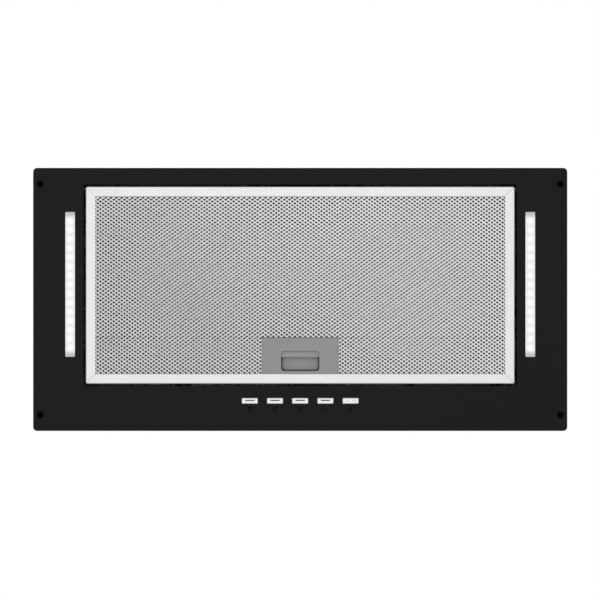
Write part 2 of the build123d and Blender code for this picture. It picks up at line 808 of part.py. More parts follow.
# ---------------------------------------------------------------- housing
def lid_screws():
    """Place and outward direction of each screw in the housing walls."""
    places = []
    for s in (-1, 1):
        places += [(x * (half_length - lid_screw_inset[0]), s * half_depth, 0, s) for x in (-1, 0, 1)]
        places += [(s * half_length, y * (half_depth - lid_screw_inset[1]), s, 0) for y in (-1, 1)]
    return places


def lid_screw_height():
    return lid_under - lid_rim / 2


def wall_hole(x, y, dx, dy):
    reach = sheet + lid_rim / 2
    z = lid_screw_height()
    if dx:
        return rod("X", screw_radius + screw_clearance, (x - reach, x + reach), (y, z))
    return rod("Y", screw_radius + screw_clearance, (y - reach, y + reach), (x, z))


def bead(length):
    """Pressed bead: what it adds outside a sheet whose face is Z = 0, and what it takes away inside."""
    outer = extrude(SlotOverall(length, bead_width), bead_depth)
    outer = chamfer(outer.faces().sort_by(Axis.Z)[-1].edges(), bead_depth * 0.7)
    inner = extrude(SlotOverall(length - 2 * sheet, bead_width - 2 * sheet), bead_depth)
    return outer, Pos(0, 0, -sheet) * inner


def wall_beads():
    """Plane and length of each bead in the four walls."""
    beads = []
    for z in bead_heights:
        for s in (-1, 1):
            front = Plane((0, s * half_depth, z), x_dir=(1, 0, 0), z_dir=(0, s, 0))
            side = Plane((s * half_length, 0, z), x_dir=(0, 1, 0), z_dir=(s, 0, 0))
            beads += [(front, housing_length - 2 * bead_end), (side, housing_depth - 2 * bead_end)]
    return beads


def lid_beads():
    """Plane and length of each bead in the lid, clear of the collar and the terminal box."""
    edge = half_depth - bead_width * 1.5
    box_edge = terminal_x + terminal_box_size[0] / 2 + bead_end
    collar_edge = duct_radius + collar_flange_width + bead_width
    rear = (box_edge + half_length - bead_width * 1.5) / 2
    short = half_length - bead_width * 1.5 - collar_edge
    beads = [(Plane((rear, edge, lid_top)), 2 * (rear - box_edge))]
    for s in (-1, 1):
        beads.append((Plane((s * (collar_edge + short / 2), -edge, lid_top)), short))
    return beads


def press_beads(shape, beads):
    for plane, length in beads:
        outer, inner = bead(length)
        shape = shape + plane.location * outer - plane.location * inner
    return shape


def make_housing_shell():
    outer = slab((housing_length, housing_depth), (0, lid_under), housing_corner_radius)
    inner = (housing_length - 2 * sheet, housing_depth - 2 * sheet)
    shell = outer - slab(inner, (-1, lid_under + 1), housing_corner_radius - sheet)
    foot = slab([side + 2 * weld_overlap for side in inner], (0, sheet), housing_corner_radius - sheet)
    foot -= block((-half_length + housing_foot, half_length - housing_foot),
                  (-half_depth + housing_foot, half_depth + 1), (-1, 3))
    shell += foot
    for place in lid_screws():
        shell -= wall_hole(*place)
    return press_beads(shell, wall_beads())


def make_top_panel():
    lid = slab((housing_length, housing_depth), (lid_under, lid_top), housing_corner_radius)
    outside = (housing_length - 2 * sheet - 2 * sheet_fit, housing_depth - 2 * sheet - 2 * sheet_fit)
    inside = (outside[0] - 2 * sheet, outside[1] - 2 * sheet)
    radius = housing_corner_radius - sheet
    rim = slab(outside, (lid_under - lid_rim, lid_under + sheet / 2), radius)
    rim -= slab(inside, (lid_under - lid_rim - 1, lid_under), radius / 2)
    lid += rim
    lid -= rod("Z", collar_inner, (lid_under - 1, lid_top + 1), (0, collar_y))
    for x, y in corners(collar_screw_x, collar_screw_y):
        lid -= rod("Z", screw_radius + screw_clearance, (lid_under - 1, lid_top + 1), (x, collar_y + y))
    lid -= rod("Z", grommet_radius, (lid_under - 1, lid_top + 1), grommet_place)
    for x, y in lid_fixings() + box_screws():
        lid -= rod("Z", screw_radius + screw_clearance, (lid_under - 1, lid_top + 1), (x, y))
    for place in lid_screws():
        lid -= wall_hole(*place)
    return press_beads(lid, lid_beads())


def lid_fixings():
    """Screws from above into what hangs under the lid."""
    driver = [(driver_place[0], driver_place[1] + s * (driver_size[1] + driver_ear) / 2) for s in (-1, 1)]
    return driver + [(capacitor_place[0], capacitor_place[1] + capacitor_radius + clip_ear / 2)]


def make_housing_screws():
    screws = []
    for x, y, dx, dy in lid_screws():
        turn = Rot(0, 90 * dx, 0) if dx else Rot(-90 * dy, 0, 0)
        screws.append(Pos(x, y, lid_screw_height()) * turn * pan_screw(screw_length))
    return screws


# ---------------------------------------------------------------- duct collar and damper
def make_outlet_collar():
    outer = duct_radius + collar_flange_width
    flange_top = lid_top + collar_flange_thickness
    top = lid_top + collar_height
    centre = (0, collar_y)
    flange = rod("Z", outer, (lid_top, flange_top), centre)
    flange = fillet(flange.faces().sort_by(Axis.Z)[-1].edges(), collar_edge_radius)
    ring = rod("Z", duct_radius, (lid_top, top), centre)
    ring = chamfer(ring.faces().sort_by(Axis.Z)[-1].edges(), collar_lead_in)
    collar = flange + ring - rod("Z", collar_inner, (lid_top - 1, top + 1), centre)
    stop_top = damper_z - flap_thickness / 2 - flap_stop_gap
    stop_radii = (collar_inner - flap_stop[0], collar_inner + weld_overlap)
    collar += tube("Z", stop_radii, (stop_top - flap_stop[1], stop_top), centre)
    axis = (collar_y, damper_z)
    for side in (-1, 1):
        ends = (side * (collar_inner - damper_socket_depth), side * (duct_radius - collar_wall / 2))
        collar += rod("X", damper_socket_radius, sorted(ends), axis)
    collar -= rod("X", damper_rod_radius + running_clearance, (-damper_rod_reach, damper_rod_reach), axis)
    for x, y in corners(collar_screw_x, collar_screw_y):
        collar -= rod("Z", screw_radius + screw_clearance, (lid_top - 1, flange_top + 1), (x, collar_y + y))
    return collar


def make_damper_rod():
    end = damper_rod_reach - rod_end_gap
    return rod("X", damper_rod_radius, (-end, end), (collar_y, damper_z))


def make_damper_flap(side):
    """Half disc with two hinge knuckles, on the front (-1) or the rear (+1) of the rod."""
    centre = (0, collar_y)
    radius = collar_inner - flap_clearance
    knuckle = damper_rod_radius + running_clearance + knuckle_wall
    flat = (damper_z - flap_thickness / 2, damper_z + flap_thickness / 2)
    near = knuckle + knuckle_gap
    disc = rod("Z", radius, flat, centre)
    half = block((-radius, radius), sorted((collar_y + side * near, collar_y + side * 2 * radius)),
                 (flat[0] - 1, flat[1] + 1))
    flap = disc & half
    for start in (front_knuckles if side < 0 else rear_knuckles):
        ends = (start, start + knuckle_length)
        flap += rod("X", knuckle, ends, (collar_y, damper_z))
        arm = sorted((collar_y, collar_y + side * (near + 1.0)))
        flap += block(ends, arm, flat)
        flap -= rod("X", damper_rod_radius + running_clearance, (ends[0] - 1, ends[1] + 1),
                    (collar_y, damper_z))
    return flap


# ---------------------------------------------------------------- blower
def scroll_outline(grow, top):
    """Air space of the scroll in the YZ plane, grown outwards, as a face about the wheel axis."""
    s, r = scroll_step / 2, scroll_radius
    right = (s + r, -s)
    bottom = (-s, -s - r - scroll_step)
    left = (-s - r - 2 * scroll_step, s)
    over = radians(100)
    crown = (s + r * cos(over), -s + r * sin(over))
    tongue = (-tongue_offset, crown[1] + tongue_rise)
    edges = [
        ThreePointArc(crown, arc_middle((s, -s), r, 50), right),
        ThreePointArc(right, arc_middle((-s, -s), r + scroll_step, -45), bottom),
        ThreePointArc(bottom, arc_middle((-s, s), r + 2 * scroll_step, -135), left),
        Line(left, (left[0], top)),
        Line((left[0], top), (-tongue_offset, top)),
        Line((-tongue_offset, top), tongue),
        Line(tongue, crown),
    ]
    face = make_face(edges)
    return offset(face, grow, kind=Kind.INTERSECTION) if grow else face


def arc_middle(centre, radius, angle):
    """Point on an arc, which it is drawn through."""
    y, z = around(radius, angle)
    return (centre[0] + y, centre[1] + z)


def scroll_solid(grow, x, top=throat_height + 4.0):
    """Scroll outline drawn out between two X limits, cut off at the lid."""
    face = scroll_outline(grow, top)
    plane = Plane(origin=(x[0], wheel_y, wheel_z), x_dir=(0, 1, 0), z_dir=(1, 0, 0))
    solid = extrude(plane * face, x[1] - x[0], dir=(1, 0, 0))
    cabinet = (lid_under, lid_under + throat_height)
    return solid - block((-half_length, half_length), (-half_depth, half_depth), cabinet)


def make_scroll_wrap():
    width = (-scroll_width / 2, scroll_width / 2)
    return scroll_solid(sheet, width) - scroll_solid(0, (width[0] - 1, width[1] + 1))


def make_scroll_side(side):
    x = sorted((side * scroll_width / 2, side * scroll_outside))
    plate = scroll_solid(sheet, x)
    centre = (wheel_y, wheel_z)
    plate -= rod("X", wheel_radius, (x[0] - 1, x[1] + 1), centre)
    inner = blade_inner_radius + 2.0
    outer_face = side * scroll_outside
    profile = [
        (outer_face, wheel_radius + 0.2), (outer_face, wheel_radius - 1.0),
        (outer_face - side * inlet_lip, inner), (outer_face - side * inlet_lip, inner + sheet),
        (outer_face - side * sheet, wheel_radius + 0.2),
    ]
    lip_face = Polygon(*profile, align=None)
    lip = revolve(lip_face, Axis.X)
    plate += Pos(0, wheel_y, wheel_z) * lip
    if side > 0:
        for angle in bracket_angles:
            y = wheel_y + bracket_screw_circle * cos(radians(angle))
            z = wheel_z + bracket_screw_circle * sin(radians(angle))
            plate -= rod("X", screw_radius + screw_clearance, (x[0] - 1, x[1] + 1), (y, z))
    for y, z in rivet_places():
        plate -= rod("X", rivet_radius, (x[0] - 1, x[1] + 1), (y, z))
    return plate


def rivet_places():
    z = lid_under - hang_rail_height * 0.6
    return [(wheel_y - scroll_front + rivet_inset, z), (wheel_y - tongue_offset - rivet_inset, z)]


def make_blower_rails():
    rails = []
    reach = collar_screw_y + hang_rail_end
    y = (collar_y - reach, collar_y + reach)
    for side in (-1, 1):
        leg = sorted((side * scroll_outside, side * (scroll_outside + hang_rail_sheet)))
        shelf = sorted((side * scroll_outside, side * (scroll_outside + hang_rail_width)))
        rail = block(leg, y, (lid_under - hang_rail_height, lid_under))
        rail += block(shelf, y, (lid_under - hang_rail_sheet, lid_under))
        for end in (-1, 1):
            rail -= rod("Z", screw_radius + screw_clearance, (lid_under - 3, lid_under + 1),
                        (side * collar_screw_x, collar_y + end * collar_screw_y))
        for ry, rz in rivet_places():
            rail -= rod("X", rivet_radius, (leg[0] - 1, leg[1] + 1), (ry, rz))
        rails.append(rail)
    return rails


def make_blower_fasteners():
    pieces = []
    length = collar_flange_thickness + sheet + hang_rail_sheet + 4.0
    for x, y in corners(collar_screw_x, collar_screw_y):
        pieces.append(Pos(x, collar_y + y, lid_top + collar_flange_thickness) * pan_screw(length))
    for side in (-1, 1):
        outer = side * (scroll_outside + hang_rail_sheet)
        for y, z in rivet_places():
            rivet = rod("X", rivet_radius, sorted((side * (scroll_width / 2 - 1.0), outer)), (y, z))
            rivet += rod("X", rivet_head[0], sorted((outer, outer + side * rivet_head[1])), (y, z))
            pieces.append(rivet)
    return pieces


def make_impeller():
    half = wheel_width / 2
    blade = extrude(Plane.YZ * blade_outline(), half, both=True)
    disc = rod("X", wheel_radius - blade_root, (-wheel_disc / 2, wheel_disc / 2))
    wheel = disc + rod("X", hub_radius, (wheel_disc / 2 - hub_length, wheel_disc / 2))
    for end in (-1, 1):
        ring = sorted((end * (half - wheel_ring[0]), end * half))
        wheel += tube("X", (wheel_radius - wheel_ring[1], wheel_radius), ring)
    blades = [Rot(360.0 * i / blade_count, 0, 0) * blade for i in range(blade_count)]
    wheel = wheel + blades
    wheel -= rod("X", shaft_radius + push_clearance, (-hub_length, 4.0))
    return Pos(0, wheel_y, wheel_z) * wheel


def blade_outline():
    """Forward-curved blade section between the inner and the outer blade radius."""
    chord = wheel_radius - blade_inner_radius - blade_root
    inner = (0, blade_inner_radius)
    outer = (chord * 0.45, wheel_radius - 0.6)
    middle = (chord * 0.02, (inner[1] + outer[1]) / 2 + 0.6)
    return trace(ThreePointArc(inner, middle, outer), blade_thickness)


# ---------------------------------------------------------------- motor
def at_wheel(shape):
    return Pos(0, wheel_y, wheel_z) * shape


def around(circle, angle):
    return (circle * cos(radians(angle)), circle * sin(radians(angle)))


def make_motor_shaft():
    return at_wheel(rod("X", shaft_radius, (-hub_length + 3.0, motor_end + bracket_sheet + 3.0)))


def stack_ends():
    middle = (motor_start + motor_end) / 2
    return (middle - stack_length / 2, middle + stack_length / 2)


def make_motor_rotor():
    return at_wheel(tube("X", (shaft_radius + push_clearance, rotor_radius), stack_ends()))


def make_motor_stator():
    outer = motor_radius - motor_wall / 2 - 0.1
    stator = tube("X", (rotor_radius + stator_gap, outer), stack_ends())
    for index in range(stator_slots):
        place = around((rotor_radius + outer) / 2 + 1.0, 360.0 * index / stator_slots)
        stator -= rod("X", stator_slot_radius, (stack_ends()[0] - 1, stack_ends()[1] + 1), place)
    return at_wheel(stator)


def make_motor_housing():
    can = rod("X", motor_radius, (motor_start, motor_end))
    can = fillet(can.edges().filter_by(GeomType.CIRCLE), can_edge_radius)
    can -= rod("X", motor_radius - motor_wall / 2, (motor_start + motor_wall, motor_end - motor_wall))
    for wall, inward in ((motor_start, 1), (motor_end, -1)):
        seat = sorted((wall + inward * 0.5, wall + inward * bush_length))
        can += rod("X", bush_radius + bush_seat_wall, seat)
    can -= rod("X", bush_radius, (motor_start - 1, motor_end + 1))
    for angle in motor_screw_angles:
        hole = (motor_end - motor_wall - 1, motor_end + 1)
        can -= rod("X", screw_radius + screw_clearance, hole, around(motor_screw_circle, angle))
    return at_wheel(can)


def make_motor_bushes():
    bushes = []
    for wall, inward in ((motor_start, 1), (motor_end, -1)):
        ends = sorted((wall, wall + inward * bush_length))
        bushes.append(at_wheel(tube("X", (shaft_radius + bush_clearance, bush_radius), ends)))
    return bushes


def make_motor_bracket():
    ends = (motor_end, motor_end + bracket_sheet)
    plate = rod("X", motor_screw_circle + bracket_rim, ends)
    for angle in bracket_angles:
        arm = block(ends, (0, bracket_reach - bracket_arm_width / 2),
                    (-bracket_arm_width / 2, bracket_arm_width / 2))
        arm += rod("X", bracket_arm_width / 2, ends, (bracket_reach - bracket_arm_width / 2, 0))
        reach = (ends[0] - 1, ends[1] + 1)
        arm -= rod("X", screw_radius + screw_clearance, reach, (bracket_screw_circle, 0))
        plate += Rot(angle, 0, 0) * arm
    plate -= rod("X", bush_radius, (ends[0] - 1, ends[1] + 1))
    for angle in motor_screw_angles:
        plate -= rod("X", screw_radius + screw_clearance, (ends[0] - 1, ends[1] + 1),
                     around(motor_screw_circle, angle))
    return at_wheel(plate)


def make_motor_screws():
    face = motor_end + bracket_sheet
    screws = []
    for angle in bracket_angles:
        y, z = around(bracket_screw_circle, angle)
        screws.append(at_wheel(Pos(face, y, z) * Rot(0, 90, 0) * pan_screw(bracket_sheet + 3.0)))
    for angle in motor_screw_angles:
        y, z = around(motor_screw_circle, angle)
        screws.append(at_wheel(Pos(face, y, z) * Rot(0, 90, 0) * pan_screw(bracket_sheet + motor_wall)))
    return screws


# ---------------------------------------------------------------- electrical parts
def make_capacitor():
    x, y = capacitor_place
    z = lid_under - clip_sheet - capacitor_radius
    can = rod("X", capacitor_radius, (x - capacitor_length / 2, x + capacitor_length / 2), (y, z))
    can = fillet(can.edges().filter_by(GeomType.CIRCLE), capacitor_edge_radius)
    end = x + capacitor_length / 2
    tab_length, tab_width, tab_thickness, tab_offset = capacitor_tab
    for side in (-1, 1):
        tab = Box(tab_length + 1.0, tab_width, tab_thickness)
        can += Pos(end + (tab_length - 1.0) / 2, y + side * tab_offset, z) * tab
    return can


def make_capacitor_clip():
    x, y = capacitor_place
    z = lid_under - clip_sheet - capacitor_radius
    ends = (x - clip_width / 2, x + clip_width / 2)
    strap = tube("X", (capacitor_radius, capacitor_radius + clip_sheet), ends, (y, z))
    ear = block(ends, (y, y + capacitor_radius + clip_ear), (lid_under - clip_sheet, lid_under))
    ear -= rod("Z", screw_radius + screw_clearance, (lid_under - 3, lid_under + 1),
               (x, y + capacitor_radius + clip_ear / 2))
    return strap + ear


def make_led_driver():
    x, y = driver_place
    size = driver_size
    body = slab(size[:2], (lid_under - size[2], lid_under), driver_corner_radius, (x, y))
    body = fillet(body.faces().sort_by(Axis.Z)[0].edges(), driver_edge_radius)
    ears = (size[0] * driver_ear_share, size[1] + 2 * driver_ear)
    body += slab(ears, (lid_under - driver_ear_thickness, lid_under), ear_corner_radius, (x, y))
    for s in (-1, 1):
        hole_y = y + s * (size[1] + driver_ear) / 2
        body -= rod("Z", screw_radius + screw_clearance, (lid_under - 4, lid_under + 1), (x, hole_y))
    return body


def make_electrical_screws():
    """Screws of the driver, the capacitor's clip, the terminal box and the box's lid."""
    screws = [Pos(*place, lid_top) * pan_screw(sheet + 4.0) for place in lid_fixings()]
    base = lid_top + terminal_box_wall
    screws += [Pos(*place, base) * pan_screw(terminal_box_wall + 3.0) for place in box_screws()]
    top = lid_top + terminal_box_size[2] + box_lid_thickness
    lid_screw = pan_screw(box_screw_length, box_screw_hole_radius - push_clearance)
    return screws + [Pos(*place, top) * lid_screw for place in box_lugs()]


def box_screws():
    """Screws through the floor of the terminal box into the housing's lid."""
    x, y = [size / 2 - inset for size, inset in zip(terminal_box_size, box_floor_screw_inset)]
    return [(terminal_x - x, terminal_y - y), (terminal_x + x, terminal_y + y)]


def box_lugs():
    """The four lugs outside the terminal box, which take the screws of its lid."""
    x = terminal_box_size[0] / 2 + box_lug_offset
    y = terminal_box_size[1] / 2 - box_lug_inset
    return [(terminal_x + sx, terminal_y + sy) for sx, sy in corners(x, y)]


def make_terminal_box():
    """Tub with an open top. Its rear wall has a window, and the gland's plate stands behind that."""
    x, y, z = terminal_box_size
    wall = terminal_box_wall
    floor, top = lid_top + wall, lid_top + z
    centre = (terminal_x, terminal_y)
    box = slab((x, y), (lid_top, top), box_corner_radius, centre)
    for place in box_lugs():
        box += rod("Z", box_lug_radius, (lid_top, top), place)
        box -= rod("Z", box_screw_hole_radius, (top - box_screw_hole_depth, top + 1), place)
    box -= slab((x - 2 * wall, y - 2 * wall), (floor, top + 1), box_corner_radius - wall, centre)
    box = fit_gland_plate(box, floor, top)
    box -= rod("Z", grommet_radius, (lid_top - 1, floor + 1), grommet_place)
    for place in box_screws():
        box -= rod("Z", screw_radius + screw_clearance, (lid_top - 1, floor + 1), place)
    return box


def fit_gland_plate(box, floor, top):
    """Cut the window and the seat of the gland's plate into the tub, and add the ribs that hold it."""
    window, inside = gland_window / 2, terminal_box_size[0] / 2 - terminal_box_wall
    seat_front = gland_plate_inside - gland_plate_gap
    rib_thickness, rib_height = gland_plate_rib
    box -= block((terminal_x - window, terminal_x + window), (seat_front, box_rear + 1), (floor, top + 1))
    box -= block((terminal_x - inside, terminal_x + inside),
                 (seat_front, box_rear - terminal_box_wall), (floor, top + 1))
    for side in (-1, 1):
        x = sorted((terminal_x + side * (inside + weld_overlap),
                    terminal_x + side * (inside - rib_height)))
        box += block(x, (seat_front - rib_thickness, seat_front), (floor - weld_overlap, top))
    return box


def make_gland_plate():
    """Plate that slides down into the rear of the terminal box and carries the gland."""
    half = terminal_box_size[0] / 2 - terminal_box_wall - gland_plate_gap
    low = lid_top + terminal_box_wall + gland_plate_gap
    high = lid_top + terminal_box_size[2] - gland_plate_gap
    plate = block((terminal_x - half, terminal_x + half), (gland_plate_inside, gland_face), (low, high))
    hole = (gland_plate_inside - 1, gland_face + 1)
    return plate - rod("Y", gland_hole_radius, hole, (terminal_x, lid_top + gland_height))


def make_terminal_box_lid():
    x, y, z = terminal_box_size
    low = lid_top + z
    high = low + box_lid_thickness
    lid = slab((x, y), (low, high), box_corner_radius, (terminal_x, terminal_y))
    for place in box_lugs():
        lid += rod("Z", box_lug_radius, (low, high), place)
    lid = fillet(lid.faces().sort_by(Axis.Z)[-1].edges(), 1.0)
    for place in box_lugs():
        lid -= rod("Z", screw_radius + screw_clearance, (low - 1, high + 1), place)
    return lid


def make_cable_grommet():
    """Rubber ring that guards the supply lead where it passes through the lid and the box floor."""
    bore = lead_radius + running_clearance
    neck = (bore, grommet_radius - push_clearance)
    flange = (bore, grommet_radius + grommet_flange)
    top = lid_top + terminal_box_wall
    ring = tube("Z", neck, (lid_under - grommet_lip, top + grommet_lip), grommet_place)
    ring += tube("Z", flange, (top, top + grommet_lip), grommet_place)
    ring += tube("Z", flange, (lid_under - grommet_lip, lid_under), grommet_place)
    return ring


def make_terminal_block():
    x, y, z = block_size
    base = lid_top + terminal_box_wall
    centre = (terminal_x + block_shift[0], terminal_y + block_shift[1])
    body = slab((x, y), (base, base + z), 1.0, centre)
    body -= slab((x + 2, y * 0.35), (base + z * 0.75, base + z + 1), 0.5, centre)
    for index in (-1, 0, 1):
        hole_x = centre[0] + index * x * 0.3
        body -= rod("Y", block_wire_radius, (centre[1] - y, centre[1] + y), (hole_x, base + z * 0.3))
        for end in (-1, 1):
            place = (hole_x, centre[1] + end * y * 0.33)
            body -= rod("Z", block_screw_radius, (base + z * 0.6, base + z + 1), place)
    return body


def make_cable_gland():
    length = terminal_box_wall + gland_nut_height + gland_thread_end
    thread = extrude(Circle(gland_hole_radius - gland_thread_clearance), length + 1.0)
    body = hexagon(gland_hex_radius, gland_hex_height) + Pos(0, 0, -length) * thread
    cap = extrude(Circle(gland_cap_radius), gland_hex_height + gland_cap_height)
    cap = fillet(cap.faces().sort_by(Axis.Z)[-1].edges(), gland_cap_height * 0.2)
    grip_radius, grip_length, grip_offset = gland_grip
    groove = Pos(gland_cap_radius + grip_offset, 0, gland_hex_height + gland_cap_height * 0.4)
    for index in range(gland_grip_count):
        cap -= Rot(0, 0, 360.0 * index / gland_grip_count) * groove * Cylinder(grip_radius, grip_length)
    body += cap
    body -= Cylinder(gland_bore_radius, 4 * (gland_hex_height + gland_cap_height))
    return Pos(terminal_x, gland_face, lid_top + gland_height) * Rot(-90, 0, 0) * body


def make_gland_nut():
    nut = hexagon(gland_nut_radius, gland_nut_height)
    nut -= Cylinder(gland_hole_radius, 4 * gland_nut_height)
    return Pos(terminal_x, gland_plate_inside, lid_top + gland_height) * Rot(90, 0, 0) * nut


# ---------------------------------------------------------------- wiring held inside the case
def make_supply_lead():
    gx, gy = grommet_place
    side = -half_length + 22.0
    end = (-switch_case_length / 2 + 1.0, button_y, lead_port_z)
    points = [
        (gx, gy, lid_top + terminal_box_wall + 6.0), (gx, gy, lid_under - 30.0),
        (side, gy - 25.0, lid_under - 60.0), (side, gy - 60.0, lid_under - 95.0),
        (side + 4.0, gy - 100.0, 50.0), (side + 35.0, button_y + 12.0, 22.0),
        (-switch_case_length / 2 - 60.0, button_y, lead_port_z), end,
    ]
    return cable(points, lead_radius)


def make_motor_lead():
    end_x = switch_case_length / 2 - 1.0
    y, z = around(motor_screw_circle + bracket_rim + lead_radius + 0.3, 210)
    points = [
        (end_x, button_y, lead_port_z), (end_x + 34.0, button_y, lead_port_z),
        (end_x + 55.0, button_y + 26.0, 42.0), (end_x + 58.0, button_y + 66.0, 66.0),
        (end_x + 38.0, wheel_y + y - 6.0, wheel_z + z - 10.0),
        (motor_end + 16.0, wheel_y + y, wheel_z + z), (motor_end, wheel_y + y, wheel_z + z),
    ]
    return cable(points, lead_radius)


def make_light_leads():
    x, y = driver_place
    bottom = lid_under - driver_size[2]
    board = holder_height - holder_wall
    right = [
        (x - 6.0, y + 30.0, bottom), (x - 6.0, y + 30.0, bottom - 32.0),
        (x + 12.0, y + 20.0, bottom - 62.0), (lamp_x - 4.0, lamp_y + 6.0, bottom - 92.0),
        (lamp_x, lamp_y, holder_height + 28.0), (lamp_x, lamp_y, board),
    ]
    front = -half_depth + 22.0
    left = [
        (x - 6.0, y - 30.0, bottom), (x - 6.0, y - 30.0, bottom - 22.0),
        (x - 26.0, y - 60.0, bottom - 50.0), (x - 70.0, front + 6.0, 86.0),
        (x - 125.0, front, 72.0), (0, front - 2.0, 66.0),
        (125.0 - x, front, 70.0), (70.0 - x, front + 14.0, 62.0), (25.0 - x, lamp_y - 68.0, 60.0),
        (3.0 - lamp_x, lamp_y - 25.0, 62.0), (-lamp_x, lamp_y, 46.0), (-lamp_x, lamp_y, board),
    ]
    return [cable(right, lamp_lead_radius), cable(left, lamp_lead_radius)]


# ---------------------------------------------------------------- write one file per sub-part
nodes = {
    "face_plate": make_face_plate,
    "plate_nuts": make_plate_nuts,
    "led_lens_left": lambda: make_lens(-1),
    "led_lens_right": lambda: make_lens(1),
    "led_boards": make_lamp_boards,
    "led_holders": make_lamp_holders,
    "switch_housing": make_switch_housing,
    "switch_board": make_switch_board,
    "button_springs": make_button_springs,
    "filter_frame": make_filter_frame,
    "filter_mesh_front": lambda: make_mesh(0),
    "filter_mesh_core": lambda: make_mesh(1),
    "filter_mesh_back": lambda: make_mesh(2),
    "filter_pivot_pins": make_pivot_pins,
    "filter_hooks": make_filter_hooks,
    "latch_housing": make_latch_housing,
    "latch_back_plate": make_latch_back_plate,
    "latch_slider": make_latch_slider,
    "latch_bolt": make_latch_bolt,
    "latch_springs": make_latch_springs,
    "latch_keeper": make_latch_keeper,
    "housing_shell": make_housing_shell,
    "top_panel": make_top_panel,
    "housing_screws": make_housing_screws,
    "outlet_collar": make_outlet_collar,
    "damper_rod": make_damper_rod,
    "damper_flap_front": lambda: make_damper_flap(-1),
    "damper_flap_rear": lambda: make_damper_flap(1),
    "scroll_wrap": make_scroll_wrap,
    "scroll_side_left": lambda: make_scroll_side(-1),
    "scroll_side_right": lambda: make_scroll_side(1),
    "blower_rails": make_blower_rails,
    "blower_fasteners": make_blower_fasteners,
    "impeller": make_impeller,
    "motor_shaft": make_motor_shaft,
    "motor_rotor": make_motor_rotor,
    "motor_stator": make_motor_stator,
    "motor_housing": make_motor_housing,
    "motor_bushes": make_motor_bushes,
    "motor_bracket": make_motor_bracket,
    "motor_screws": make_motor_screws,
    "capacitor": make_capacitor,
    "capacitor_clip": make_capacitor_clip,
    "led_driver": make_led_driver,
    "electrical_screws": make_electrical_screws,
    "terminal_box": make_terminal_box,
    "terminal_box_lid": make_terminal_box_lid,
    "terminal_block": make_terminal_block,
    "cable_grommet": make_cable_grommet,
    "gland_plate": make_gland_plate,
    "cable_gland": make_cable_gland,
    "gland_nut": make_gland_nut,
    "supply_lead": make_supply_lead,
    "motor_lead": make_motor_lead,
    "light_leads": make_light_leads,
}
for position, name in enumerate(button_names):
    nodes["button_" + name] = lambda position=position: make_button(position)

os.makedirs("parts", exist_ok=True)
for name, make in nodes.items():
    made = make()
    shape = Compound(children=[*made]) if isinstance(made, list) else made
    export_step(shape, f"parts/{name}.step")
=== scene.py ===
# %% [markdown]
# # A range hood insert, dressed for its portrait
# The insert is a power pack that is screwed up into a kitchen cabinet, so people only ever see it from
# below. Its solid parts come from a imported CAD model, already at their real size and place. Blender adds
# what CAD leaves plain: the finish of every surface, the expanded metal of the grease filter, the light
# of the two lamps and the printed signs beside the keys.

# %% Load the frame
import json
import math

import bmesh
import bpy
from mathutils import Matrix, Vector


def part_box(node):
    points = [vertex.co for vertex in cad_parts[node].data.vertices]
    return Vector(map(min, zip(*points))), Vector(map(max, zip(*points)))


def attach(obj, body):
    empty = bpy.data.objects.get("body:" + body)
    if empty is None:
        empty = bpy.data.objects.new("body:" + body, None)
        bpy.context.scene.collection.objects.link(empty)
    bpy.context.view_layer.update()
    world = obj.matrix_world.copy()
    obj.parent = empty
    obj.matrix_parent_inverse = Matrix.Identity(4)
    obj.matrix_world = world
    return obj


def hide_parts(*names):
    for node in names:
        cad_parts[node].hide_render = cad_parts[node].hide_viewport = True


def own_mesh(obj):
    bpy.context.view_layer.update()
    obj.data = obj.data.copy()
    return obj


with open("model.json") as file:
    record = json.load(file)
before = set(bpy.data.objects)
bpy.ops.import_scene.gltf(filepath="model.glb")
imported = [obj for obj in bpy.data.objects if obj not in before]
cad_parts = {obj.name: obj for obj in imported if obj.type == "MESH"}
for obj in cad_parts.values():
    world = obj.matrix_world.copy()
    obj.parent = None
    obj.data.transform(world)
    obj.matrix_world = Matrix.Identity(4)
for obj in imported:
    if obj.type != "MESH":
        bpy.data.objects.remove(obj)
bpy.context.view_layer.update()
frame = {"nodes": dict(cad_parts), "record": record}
nodes = frame["nodes"]

# %% [markdown]
# ## Lengths
# Blender works in metres, and so does the frame. A workshop drawing of this insert is in millimetres, so
# one short name, `mm`, turns the drawing's figures into Blender's. Places aren't typed in again: they are
# read from the boxes of the solid parts, so the dressing follows if the insert is made longer.

# %% Measure the solid parts
mm = 0.001


def middle(node):
    """Centre of a solid part's box."""
    low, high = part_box(node)
    return (low + high) / 2


plate_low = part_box("face_plate")[0].z
rails_low, rails_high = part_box("filter_frame")
filter_middle = (rails_low + rails_high) / 2
latch_low, latch_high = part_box("latch_housing")
print("filter", [round(side / mm, 1) for side in rails_high - rails_low], "mm")

# %% [markdown]
# ## Sums on sockets
# A finish is a network of nodes, and most of its nodes are plain arithmetic. Written as node calls that
# arithmetic is hard to read, so a small class wraps one output socket and gives it Python's operators:
# `1 - mask * 0.3` then adds the two Math nodes by itself. A second class holds a material and adds any
# other node from its type, its settings and the values or wires of its sockets.

